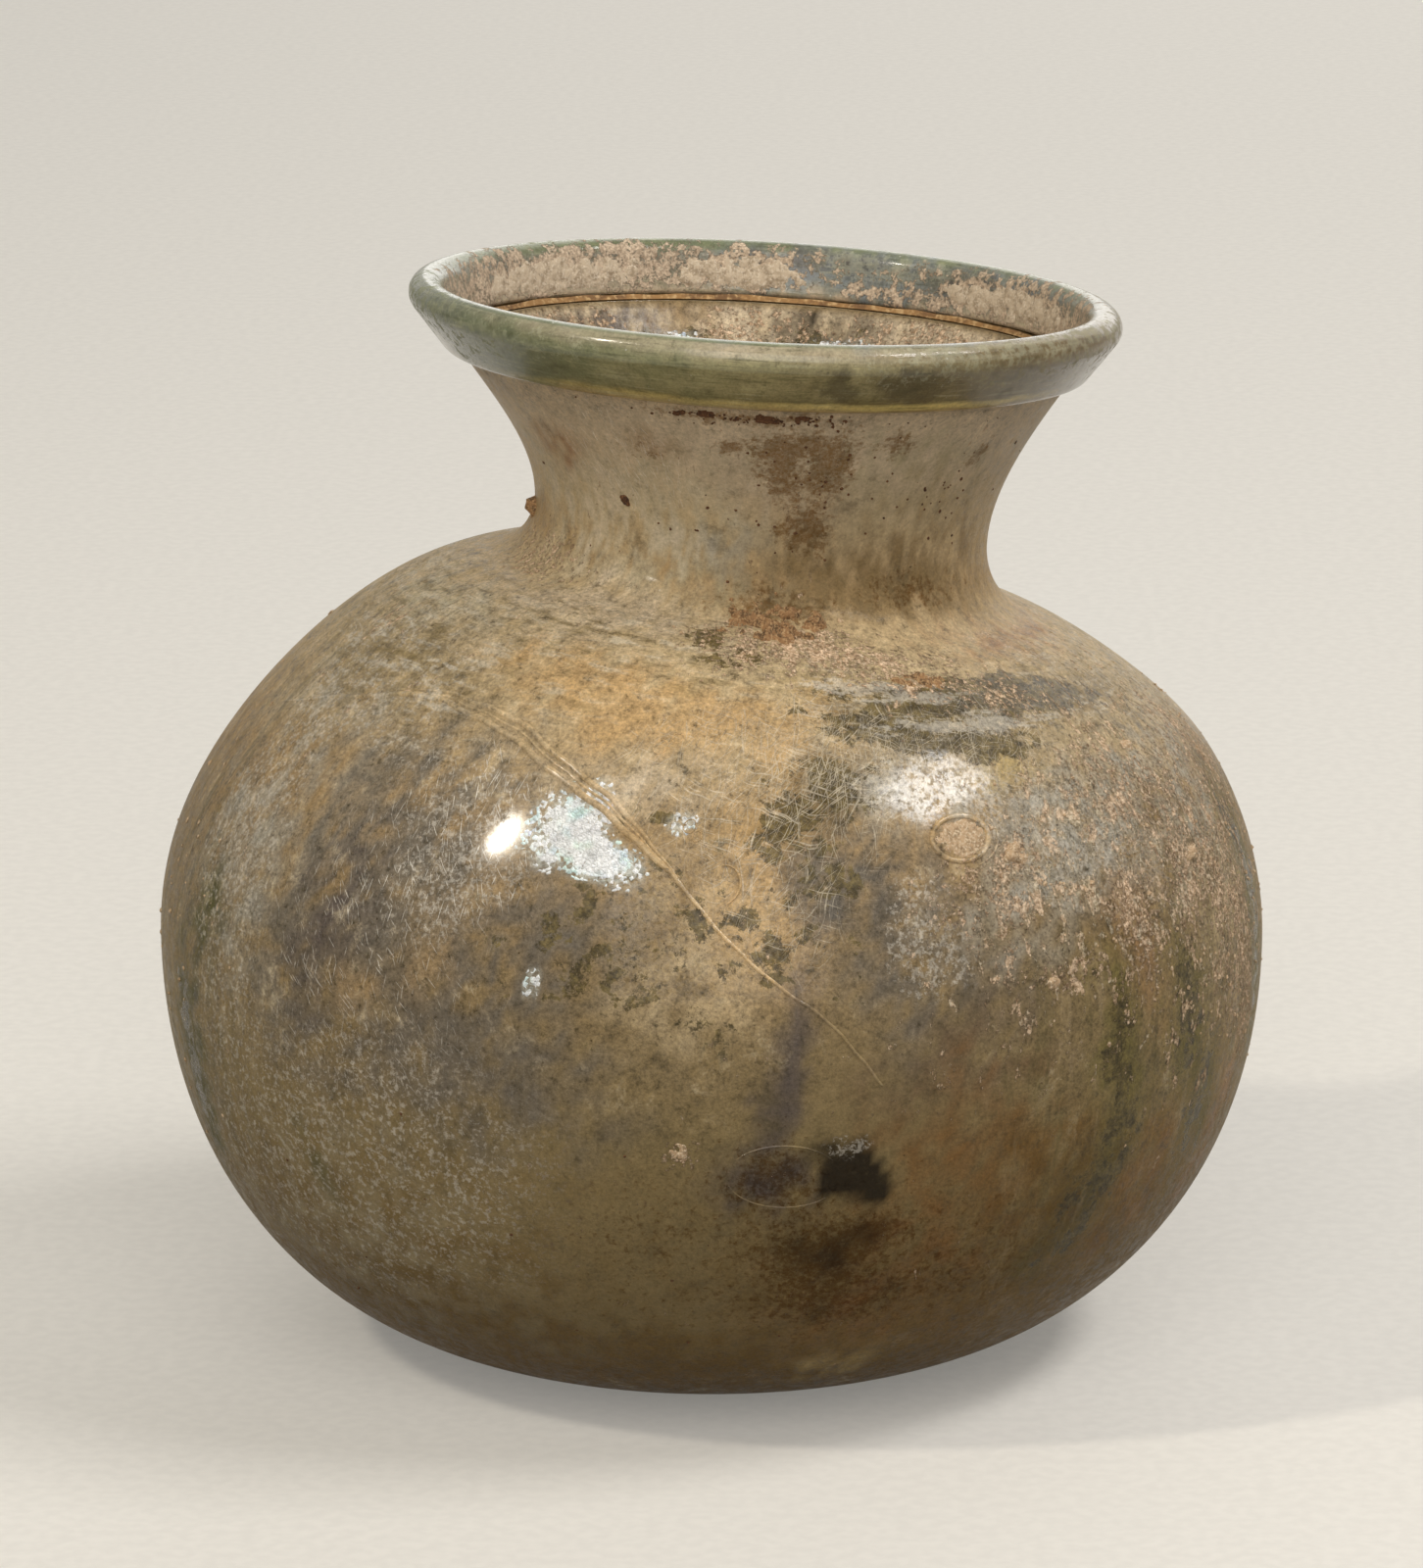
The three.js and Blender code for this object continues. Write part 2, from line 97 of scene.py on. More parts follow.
class Mark(Enum):
    """What weathering leaves on the glass, with some frost and pearl laid in part as painted highlight. Each is a value
    from 0 to 1 on every vertex.
    """

    BARE = "bare"
    FROST = "frost"
    PEACH = "peach"
    STAIN = "stain"
    PEARL = "pearl"
    FIBRE = "fibre"
    SCRATCH = "scratch"
    STREAK = "streak"
    SMEAR = "smear"
    SPECK = "speck"
    GLOSS = "gloss"
    CALM = "calm"


class Film(Enum):
    """Colours of the weathering film, as they look in plain light. A few are laid as painted light or shade too, as
    noted beside them.
    """

    HONEY = "#c3a272"
    STRAW = "#b8a06c"
    SAND = "#bda883"
    HAZE = "#cfbda1"
    TAN = "#a68c65"
    DUN = "#8f7a58"
    BRONZE = "#8c7a55"
    UMBER = "#786139"
    BROWN = "#6d542b"
    OCHRE = "#8f6c3c"
    ORANGE = "#a07650"
    RUSSET = "#88673f"
    PEACH = "#c19a74"
    GREY = "#736a5c"
    SLATE = "#665f55"
    VIOLET = "#60564f"
    OLIVE = "#786c42"
    MOSS = "#585430"
    MIST = "#b0aa9b"
    PALE = "#b6ab8c"
    # painted shade: the dim inside seen through clear glass
    SHADE_SEEN_THROUGH = "#2f271b"
    CELADON = "#c6ba88"
    # painted highlight: the bright line along the rim's ledge
    GOLD_HIGHLIGHT = "#e2cb7c"
    SEA = "#7f8660"
    FERN = "#535b3c"
    STEEL = "#8a9091"


@dataclass(frozen=True)
class Stretch:
    """One curved stretch of a section, as radii and heights in millimetres, with its two handles."""

    start: Pair
    leave: Pair
    arrive: Pair
    end: Pair
    rows: int
    face: Face

    def points(self, steps: int) -> np.ndarray:
        """Gives evenly timed points from the start to the end, as rows of radius and height."""
        t = np.linspace(0, 1, steps + 1)[:, None]
        a, b, c, d = (np.array(p) for p in (self.start, self.leave, self.arrive, self.end))
        return (1 - t) ** 3 * a + 3 * (1 - t) ** 2 * t * b + 3 * (1 - t) * t**2 * c + t**3 * d

    def inside(self, depth_at_start: float, depth_at_end: float, rows: int) -> "Stretch":
        """Draws the same stretch on the wall's inner side, from the end back to the start.

        Args:
            depth_at_start: the wall's thickness at this stretch's start.
            depth_at_end: the wall's thickness at its end.
            rows: how many rows of faces the new stretch has.

        Returns:
            The inner stretch, with handles shortened or lengthened as its ends draw together.
        """
        start, leave, arrive, end = (np.array(p) for p in (self.start, self.leave, self.arrive, self.end))
        foot = start - square_to(leave - start) * depth_at_start
        head = end - square_to(end - arrive) * depth_at_end
        share = np.linalg.norm(head - foot) / np.linalg.norm(end - start)
        near_head = head + (arrive - end) * share
        near_foot = foot + (leave - start) * share
        return Stretch(tuple(head), tuple(near_head), tuple(near_foot), tuple(foot), rows, Face.INNER)


def square_to(direction: np.ndarray) -> np.ndarray:
    """Gives the unit direction on the right-hand side of one, which faces out on an upward outline."""
    return np.array([direction[1], -direction[0]]) / np.linalg.norm(direction)


def straight(start: Pair, end: Pair, rows: int, face: Face) -> Stretch:
    """Gives a straight stretch of a section."""
    a, b = np.array(start), np.array(end)
    return Stretch(start, tuple(a + (b - a) / 3), tuple(b - (b - a) / 3), end, rows, face)


def rounded(middle: Pair, radius: float, start: float, end: float, rows: int, face: Face) -> Stretch:
    """Gives a round stretch of at most a third of a turn.

    Args:
        middle: the circle's middle.
        radius: its radius.
        start: the angle that it starts at, in radians.
        end: the angle that it ends at.
        rows: how many rows of faces it has.
        face: the face of the glass that it belongs to.

    Returns:
        A cubic curve that follows the circle.
    """
    reach = 4 / 3 * math.tan((end - start) / 4) * radius
    angles = np.array([start, end])
    (ax, bx), (az, bz) = middle[0] + radius * np.cos(angles), middle[1] + radius * np.sin(angles)
    leave = (ax - reach * math.sin(start), az + reach * math.cos(start))
    arrive = (bx + reach * math.sin(end), bz - reach * math.cos(end))
    return Stretch((ax, az), leave, arrive, (bx, bz), rows, face)


@dataclass(frozen=True)
class Lean:
    """How the neck and mouth lean: nothing at the widest height, all of it below the neck."""

    from_height: float = 29.4
    full_height: float = 52.8
    growth: float = 3.05
    neck_height: float = 54.1
    mouth_height: float = 70.2
    neck_shift: float = 3.4
    mouth_shift: float = 3.7
    neck_tilt: float = math.radians(7.3)
    mouth_tilt: float = math.radians(3.0)
    forward_pitch: float = math.radians(-2.1)

    def place(self, upright: np.ndarray) -> np.ndarray:
        """Moves points of the upright vessel to where they are on the leaning one.

        Args:
            upright: rows of x, y and z in millimetres.

        Returns:
            The moved rows, in millimetres.
        """
        x, y, z = upright.T
        body = ease((z - self.from_height) / (self.full_height - self.from_height)) ** self.growth
        mouth = ease((z - self.neck_height) / (self.mouth_height - self.neck_height))
        shift = self.neck_shift * body + (self.mouth_shift - self.neck_shift) * mouth
        tilt = self.neck_tilt * body + (self.mouth_tilt - self.neck_tilt) * mouth
        pitch = self.forward_pitch * body
        across = shift + x * np.cos(tilt)
        rise = z - x * np.sin(tilt) + y * np.sin(pitch)
        return np.stack([across, y * np.cos(pitch), rise], axis=1)


@dataclass(frozen=True)
class Blowing:
    """How far the blown wall falls inside a true circle: long shallow waves that fade at the base."""

    deepest: float = 0.24
    fade_height: float = 12.0

    def sink(self, bearing: np.ndarray, height: np.ndarray) -> np.ndarray:
        """Gives the depth in millimetres at bearings in radians and heights in millimetres."""
        slow = np.sin(2 * bearing + 0.9 + height / 23)
        brisk = np.sin(3 * bearing - 1.7 + height / 9)
        return self.deepest * (2 + slow + brisk) / 4 * ease(height / self.fade_height)


LEAN = Lean()
BLOWING = Blowing()


def stand_up(radius: np.ndarray, bearing: np.ndarray, height: np.ndarray) -> np.ndarray:
    """Turns radii, bearings in radians and heights into points of the finished vessel, in metres."""
    true_radius = radius - BLOWING.sink(bearing, height)
    upright = np.stack([true_radius * np.sin(bearing), -true_radius * np.cos(bearing), height], axis=1)
    return LEAN.place(upright) * MM


@dataclass(frozen=True)
class Form:
    """Sections of the blown vessel, in millimetres, with the same sizes as the solids have."""

    base_wall: float = 2.1
    standing_wall: float = 2.0
    belly_wall: float = 0.9
    shoulder_wall: float = 1.2
    throat_wall: float = 1.1
    funnel_wall: float = 0.8

    kick: Stretch = Stretch((0, 1.6), (4.8, 1.6), (7.2, 0), (9.6, 0), 8, Face.UNDER)
    ring: Stretch = straight((9.6, 0), (13.3, 0), 4, Face.UNDER)
    bulb: Stretch = Stretch((13.3, 0), (26.6, 0), (39, 10.3), (39, 29.4), 62, Face.OUTER)
    shoulder: Stretch = Stretch((39, 29.4), (39, 42.2), (27.7, 52.025), (19.4, 54.1), 54, Face.OUTER)
    neck: Stretch = Stretch((19.4, 54.1), (16.5, 54.825), (16.05, 57.5), (16.05, 58.5), 12, Face.OUTER)
    funnel: Stretch = Stretch((16.05, 58.5), (16.05, 62.4), (18.9, 66.3), (21.7, 70.2), 24, Face.OUTER)

    def outer(self) -> list[Stretch]:
        """Gives the outer skin from the standing ring to under the rim."""
        return [self.bulb, self.shoulder, self.neck, self.funnel]

    def inner(self) -> list[Stretch]:
        """Gives the inner skin from under the rim down to the floor's edge."""
        return [
            self.funnel.inside(self.throat_wall, self.funnel_wall, 24),
            self.neck.inside(self.shoulder_wall, self.throat_wall, 8),
            self.shoulder.inside(self.belly_wall, self.shoulder_wall, 16),
            self.bulb.inside(self.standing_wall, self.belly_wall, 14),
        ]

    def floor(self) -> Stretch:
        """Gives the inside of the base, from its edge in to the middle."""
        edge = self.inner()[-1].end
        middle = self.kick.start[1] + self.base_wall
        return Stretch(edge, (8.9, middle - 0.55), (4.4, middle), (0, middle), 5, Face.INNER)

    def wall(self) -> list[Stretch]:
        """Gives the whole wall's section, from the middle of the kick round to the middle of the floor."""
        inner = self.inner()
        top = straight(self.funnel.end, inner[0].start, 1, Face.EDGE)
        return [self.kick, self.ring, *self.outer(), top, *inner, self.floor()]


@dataclass(frozen=True)
class RimForm:
    """The folded rim's section: out at the ledge, up, over the roll and back down inside to a free edge."""

    layer: float = 0.7
    ledge: Pair = (22.75, 70.25)
    ledge_sag: Pair = (0.35, 0.42)
    roll: Pair = (23.75, 73.6)
    tube: float = 1.25
    edge: Pair = (21.85, 71.1)
    fold_rise: float = 0.08

    def touch(self, place: Pair, side: int) -> float:
        """Gives the angle on the roll where a line from a place outside it touches.

        Args:
            place: the point that the line starts from.
            side: 1 for the touch on the left-hand side of the line to the roll's middle, -1 for the other.

        Returns:
            The angle in radians, seen from the roll's middle.
        """
        away = np.array(place) - np.array(self.roll)
        opening = math.acos(self.tube / np.linalg.norm(away))
        return math.atan2(away[1], away[0]) - side * opening

    def on_roll(self, angle: float, radius: float) -> Pair:
        """Gives a point round the roll's middle."""
        return (self.roll[0] + radius * math.cos(angle), self.roll[1] + radius * math.sin(angle))

    def section(self, form: Form) -> list[Stretch]:
        """Draws the closed section.

        Args:
            form: the vessel's form, whose funnel carries the rim.

        Returns:
            Its stretches, from the funnel's outer edge over the roll and back through the air channel.
        """
        top = np.array(form.funnel.end)
        top_inside = np.array(form.inner()[0].start)
        ledge = np.array(self.ledge)
        outside = self.touch(self.ledge, -1)
        within = self.touch(self.edge, 1) + 2 * math.pi
        crown = (outside + within) / 2
        sag = (self.ledge[0] - self.ledge_sag[0], self.ledge[1] - self.ledge_sag[1])
        outward = np.array([math.cos(outside), math.sin(outside)])
        inward = np.array([math.cos(within), math.sin(within)])
        along = np.array([inward[1], -inward[0]])
        tip = np.array(self.edge) - inward * self.layer / 2 + along * self.layer / 2
        valley = ledge - outward * self.layer
        hump = ((top_inside[0] + valley[0]) / 2, top_inside[1] + self.fold_rise)
        hollow = self.tube - self.layer
        ends = [self.on_roll(outside, self.tube), self.on_roll(within, self.tube)]
        hollow_ends = [self.on_roll(within, hollow), self.on_roll(outside, hollow)]
        half = within + math.pi / 2
        tip_start = tuple(tip + inward * self.layer / 2)
        tip_end = tuple(tip - inward * self.layer / 2)
        return [
            Stretch(tuple(top), tuple(top + (np.array(sag) - top) * 0.66), sag, self.ledge, 8, Face.RIM),
            straight(self.ledge, ends[0], 16, Face.RIM),
            rounded(self.roll, self.tube, outside, crown, 14, Face.RIM),
            rounded(self.roll, self.tube, crown, within, 14, Face.RIM),
            straight(ends[1], tip_start, 12, Face.RIM),
            rounded(tuple(tip), self.layer / 2, within, half, 4, Face.RIM),
            rounded(tuple(tip), self.layer / 2, half, within + math.pi, 4, Face.RIM),
            straight(tip_end, hollow_ends[0], 6, Face.CHANNEL),
            rounded(self.roll, hollow, within, crown, 5, Face.CHANNEL),
            rounded(self.roll, hollow, crown, outside, 5, Face.CHANNEL),
            straight(hollow_ends[1], tuple(valley), 6, Face.CHANNEL),
            straight(tuple(valley), hump, 2, Face.CHANNEL),
            straight(hump, tuple(top_inside), 2, Face.CHANNEL),
            straight(tuple(top_inside), tuple(top), 1, Face.EDGE),
        ]


@contextmanager
def editing(body: bpy.types.Object) -> Iterator[None]:
    """Works on one object alone in edit mode with all of it selected.

    Args:
        body: the object to edit.

    Yields:
        Nothing; the object is back in object mode afterwards.
    """
    choose(body)
    bpy.ops.object.mode_set(mode="EDIT")
    bpy.ops.mesh.select_all(action="SELECT")
    yield
    bpy.ops.object.mode_set(mode="OBJECT")


def choose(*bodies: bpy.types.Object) -> None:
    """Selects these objects and nothing else, and makes the first one active."""
    for other in bpy.context.selected_objects:
        other.select_set(False)
    for body in bodies:
        body.select_set(True)
    bpy.context.view_layer.objects.active = bodies[0]


def read_vertices(body: bpy.types.Object) -> np.ndarray:
    """Gives an object's vertices as rows of x, y and z."""
    flat = np.empty(len(body.data.vertices) * 3, np.float32)
    body.data.vertices.foreach_get("co", flat)
    return flat.reshape(-1, 3).astype(float)


def write_vertices(body: bpy.types.Object, places: np.ndarray) -> None:
    """Moves an object's vertices to rows of x, y and z."""
    body.data.vertices.foreach_set("co", places.astype(np.float32).ravel())
    body.data.update()


def smooth(body: bpy.types.Object) -> None:
    """Shades an object as one rounded surface."""
    choose(body)
    bpy.ops.object.shade_smooth()


def close_seams(body: bpy.types.Object) -> None:
    """Merges an object's doubled vertices and turns its faces outwards."""
    with editing(body):
        bpy.ops.mesh.remove_doubles(threshold=WELD)
        bpy.ops.mesh.normals_make_consistent(inside=False)


def finish_piece(
    body: bpy.types.Object, material: bpy.types.Material, stands_for: Sequence[str] = ()
) -> bpy.types.Object:
    """Gives a piece its material and its body, and hides the solids that it stands for.

    Args:
        body: the finished piece.
        material: the Blender material.
        stands_for: the names of the solids that it replaces.

    Returns:
        The same piece.
    """
    body.data.materials.clear()
    body.data.materials.append(material)
    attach(body, BODY)
    if stands_for:
        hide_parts(*stands_for)
    log.info("%s: %d faces", body.name, len(body.data.polygons))
    return body


@dataclass
class Surface:
    """A turned piece, with each vertex's bearing, radius and height, its face and its place along the section."""

    body: bpy.types.Object
    bearing: np.ndarray
    radius: np.ndarray
    height: np.ndarray
    face: np.ndarray
    length: np.ndarray
    wrap: np.ndarray = field(init=False)
    drift: np.ndarray = field(init=False)
    grit: np.ndarray = field(init=False)

    def __post_init__(self) -> None:
        """Finds each vertex's place round and up the vessel, and how far the weathering's edges wander there."""
        belly = 39.0
        across, back = belly * np.sin(self.bearing), -belly * np.cos(self.bearing)
        self.wrap = np.stack([across, back, self.length], axis=1)
        self.drift = np.zeros((len(self.bearing), 2))
        for wave, share in ((11.0, 0.9), (4.5, 0.7), (2.0, 0.5)):
            self.drift += share * np.array([noise.noise_vector(Vector(p) / wave)[:2] for p in self.wrap])
        self.grit = np.array([noise.noise(Vector(p) / 1.9) + 0.6 * noise.noise(Vector(p) / 0.8) for p in self.wrap])


@dataclass
class Lathe:
    """Turns a section, drawn as curves, round the upright axis."""

    name: str
    stretches: list[Stretch]
    steps: int

    def draw(self) -> bpy.types.Object:
        """Draws the section as Bezier curves and turns them into edges.

        Returns:
            An object whose edges are the section, with the radius along X.
        """
        bpy.ops.curve.primitive_bezier_curve_add(location=(0, 0, 0))
        drawn = bpy.context.object
        drawn.name = self.name
        drawn.data.dimensions = "3D"
        drawn.data.splines.clear()
        for stretch in self.stretches:
            spline = drawn.data.splines.new("BEZIER")
            spline.bezier_points.add(1)
            spline.resolution_u = stretch.rows
            first, last = spline.bezier_points
            corners = [(first, stretch.start, stretch.start, stretch.leave)]
            corners.append((last, stretch.end, stretch.arrive, stretch.end))
            for point, place, left, right in corners:
                point.handle_left_type = point.handle_right_type = "FREE"
                point.co = (place[0] * MM, 0, place[1] * MM)
                point.handle_left = (left[0] * MM, 0, left[1] * MM)
                point.handle_right = (right[0] * MM, 0, right[1] * MM)
        choose(drawn)
        bpy.ops.object.convert(target="MESH")
        drawn = bpy.context.object
        drawn.data.name = self.name
        return drawn

    def turn(self) -> Surface:
        """Spins the section into a closed body and finds each vertex's place on it.

        Returns:
            The turned piece, which still stands upright.
        """
        body = self.draw()
        with editing(body):
            bpy.ops.mesh.remove_doubles(threshold=WELD)
        turning = body.modifiers.new("turning", "SCREW")
        turning.axis = "Z"
        turning.steps = turning.render_steps = self.steps
        turning.use_merge_vertices = True
        turning.merge_threshold = WELD
        bpy.ops.object.modifier_apply(modifier=turning.name)
        close_seams(body)
        smooth(body)
        return self.survey(body)

    def survey(self, body: bpy.types.Object) -> Surface:
        """Finds the row of the section that each vertex of a turned body lies on."""
        places = read_vertices(body) / MM
        radius = np.hypot(places[:, 0], places[:, 1])
        rows, faces, lengths = self.rows()
        nearest = np.empty(len(places), int)
        for part in np.array_split(np.arange(len(places)), 40):
            gap = (radius[part, None] - rows[None, :, 0]) ** 2 + (places[part, 2][:, None] - rows[None, :, 1]) ** 2
            nearest[part] = gap.argmin(axis=1)
        bearing = np.arctan2(places[:, 0], -places[:, 1])
        return Surface(body, bearing, radius, places[:, 2], faces[nearest], lengths[nearest])

    def rows(self) -> tuple[np.ndarray, np.ndarray, np.ndarray]:
        """Lists the section's rows.

        Returns:
            Their points, their faces and their distances along the section, in millimetres.
        """
        points, faces = [], []
        for stretch in self.stretches:
            points.append(stretch.points(stretch.rows)[1:])
            faces += [stretch.face.value] * stretch.rows
        points.insert(0, np.array([self.stretches[0].start]))
        faces.insert(0, faces[0])
        joined = np.concatenate(points)
        steps = np.hypot(*np.diff(joined, axis=0).T)
        return joined, np.array(faces), np.concatenate([[0], np.cumsum(steps)])


class SkinLine:
    """The outline of one face of the glass, for finding places on it and laying pieces on it."""

    def __init__(self, stretches: list[Stretch], face: Face, begin: float = 0.0, facing: int = 1) -> None:
        """Measures the outline.

        Args:
            stretches: its stretches in order.
            face: the face of the glass.
            begin: how far along the piece's section the outline starts, in millimetres.
            facing: 1 if the air is on the right-hand side of the outline, -1 if it is on the left.
        """
        fine = 160
        points = np.concatenate([s.points(fine)[1 if i else 0 :] for i, s in enumerate(stretches)])
        steps = np.hypot(*np.diff(points, axis=0).T)
        self.face = face
        self.length = begin + np.concatenate([[0], np.cumsum(steps)])
        self.radius, self.height = points.T
        slope = np.gradient(points, axis=0)
        slope /= np.hypot(*slope.T)[:, None]
        self.out_radius = slope[:, 1] * facing
        self.out_height = -slope[:, 0] * facing

    def length_at(self, height: float) -> float:
        """Gives the distance along the outline at which it has a height."""
        order = 1 if self.height[-1] > self.height[0] else -1
        return float(np.interp(height, self.height[::order], self.length[::order]))

    def at(self, length: np.ndarray, values: np.ndarray) -> np.ndarray:
        """Reads one of the outline's own lists of values at distances along it."""
        return np.interp(length, self.length, values)

    def lift(self, bearing: np.ndarray, length: np.ndarray, out: np.ndarray | float) -> np.ndarray:
        """Finds points off the glass.

        Args:
            bearing: bearings in radians.
            length: distances along the outline.
            out: distances off the glass.

        Returns:
            Points of the finished vessel, in metres.
        """
        radius = self.at(length, self.radius) + self.at(length, self.out_radius) * out
        height = self.at(length, self.height) + self.at(length, self.out_height) * out
        return stand_up(radius, bearing, height)


@dataclass(frozen=True)
class Spot:
    """A place on a face of the glass: its outline, a bearing in degrees and a height in millimetres."""

    line: SkinLine
    bearing: float
    height: float

    def near(self, across: np.ndarray, up: np.ndarray) -> tuple[np.ndarray, np.ndarray]:
        """Finds bearings in radians and distances along the outline of places near the spot.

        Args:
            across: distances round the vessel in millimetres.
            up: distances along the outline.

        Returns:
            The bearings and the distances along the outline.
        """
        length = self.line.length_at(self.height) + np.asarray(up, float)
        return math.radians(self.bearing) + across / self.line.at(length, self.line.radius), length

    def at(self, across: np.ndarray, up: np.ndarray, out: np.ndarray) -> np.ndarray:
        """Gives points near the spot and off the glass, in metres."""
        bearing, length = self.near(across, up)
        return self.line.lift(bearing, length, out)


@dataclass(frozen=True)
class Patch:
    """A soft oval on a face of the glass.

    Its place is a bearing in degrees and a height in millimetres, its size is half its width and half its
    height in millimetres, and it may be turned, in degrees, hold less than the full value and have a crisp edge.
    """

    bearing: float
    height: float
    across: float
    up: float
    turn: float = 0.0
    full: float = 1.0
    crisp: float = 1.0

    def cover(self, surface: Surface, line: SkinLine) -> np.ndarray:
        """Gives the patch's value on every vertex: full in its middle, half at its edge, none at twice that.

        Args:
            surface: the turned piece.
            line: the outline of the face that the patch lies on.

        Returns:
            One value for each vertex.
        """
        middle = line.length_at(self.height)
        radius = line.at(middle, line.radius)
        gap = (surface.bearing - math.radians(self.bearing) + math.pi) % (2 * math.pi) - math.pi
        wander = surface.drift.T * min(2.4, 0.8 * min(self.across, self.up))
        across, up = gap * radius + wander[0], surface.length - middle + wander[1]
        turn = math.radians(self.turn)
        along = across * math.cos(turn) + up * math.sin(turn)
        square = up * math.cos(turn) - across * math.sin(turn)
        far = np.hypot(along / self.across, square / self.up)
        value = 0.5 + 0.5 * self.crisp * np.cos(math.pi * np.minimum(far / 2, 1))
        return np.where(surface.face == line.face.value, self.full * np.clip(value, 0, 1), 0.0)


@dataclass
class Canvas:
    """Lays film colours and marks on a turned piece and keeps them as values on its vertices."""

    surface: Surface
    tone: np.ndarray = field(init=False)
    marks: dict[Mark, np.ndarray] = field(init=False)

    def __post_init__(self) -> None:
        """Starts with a plain tone and no marks."""
        count = len(self.surface.bearing)
        self.tone = np.tile(np.array(paint(Film.DUN.value)), (count, 1))
        self.marks = {mark: np.zeros(count) for mark in Mark}

    def ground(self, line: SkinLine, stops: Sequence[tuple[float, Film]]) -> None:
        """Shades a face by height.

        Args:
            line: the face's outline.
            stops: heights, rising, each with the film colour there.
        """
        heights = [height for height, _ in stops]
        colours = np.array([paint(film.value) for _, film in stops])
        near = (self.surface.length >= line.length[0] - 0.01) & (self.surface.length <= line.length[-1] + 0.01)
        here = near & (self.surface.face == line.face.value)
        for channel in range(3):
            shade = np.interp(self.surface.height, heights, colours[:, channel])
            self.tone[here, channel] = shade[here]

    def wash(self, line: SkinLine, film: Film, patches: Sequence[Patch], ragged: float = 3.2) -> None:
        """Lays patches of a film colour over what is there, with edges that are more or less ragged."""
        colour = np.array(paint(film.value))
        for patch in patches:
            soft = patch.cover(self.surface, line)
            cover = np.clip(soft + ragged * self.surface.grit * soft * (1 - soft), 0, 1)[:, None]
            self.tone = self.tone * (1 - cover) + colour * cover

    def lay(self, line: SkinLine, mark: Mark, patches: Sequence[Patch]) -> None:
        """Adds patches of a mark, each covering part of what the others left free."""
        for patch in patches:
            free = 1 - self.marks[mark]
            self.marks[mark] = 1 - free * (1 - patch.cover(self.surface, line))

    def brighten(self, share: float) -> None:
        """Makes the tone lighter by a share."""
        self.tone[:, :3] *= share

    def keep(self, upright: bool = True) -> None:
        """Writes the tone, the marks and the unrolled places to the mesh.

        Args:
            upright: whether the piece still stands upright and has to be leant as the vessel is.
        """
        surface = self.surface
        mesh = surface.body.data
        self.write(mesh, "tone", "FLOAT_COLOR", "color", self.tone)
        for mark, values in self.marks.items():
            self.write(mesh, mark.value, "FLOAT", "value", values)
        flat = np.stack([surface.bearing * 39.0, surface.length, surface.length * 0], axis=1)
        self.write(mesh, "wrap", "FLOAT_VECTOR", "vector", surface.wrap)
        self.write(mesh, "unrolled", "FLOAT_VECTOR", "vector", flat)
        if upright:
            write_vertices(surface.body, stand_up(surface.radius, surface.bearing, surface.height))

    @staticmethod
    def write(mesh: bpy.types.Mesh, name: str, kind: str, part: str, values: np.ndarray) -> None:
        """Adds one list of values to a mesh's vertices."""
        kept = mesh.attributes.new(name, kind, "POINT")
        kept.data.foreach_set(part, values.astype(np.float32).ravel())


Value = bpy.types.NodeSocket | float | Colour | tuple[float, float, float]


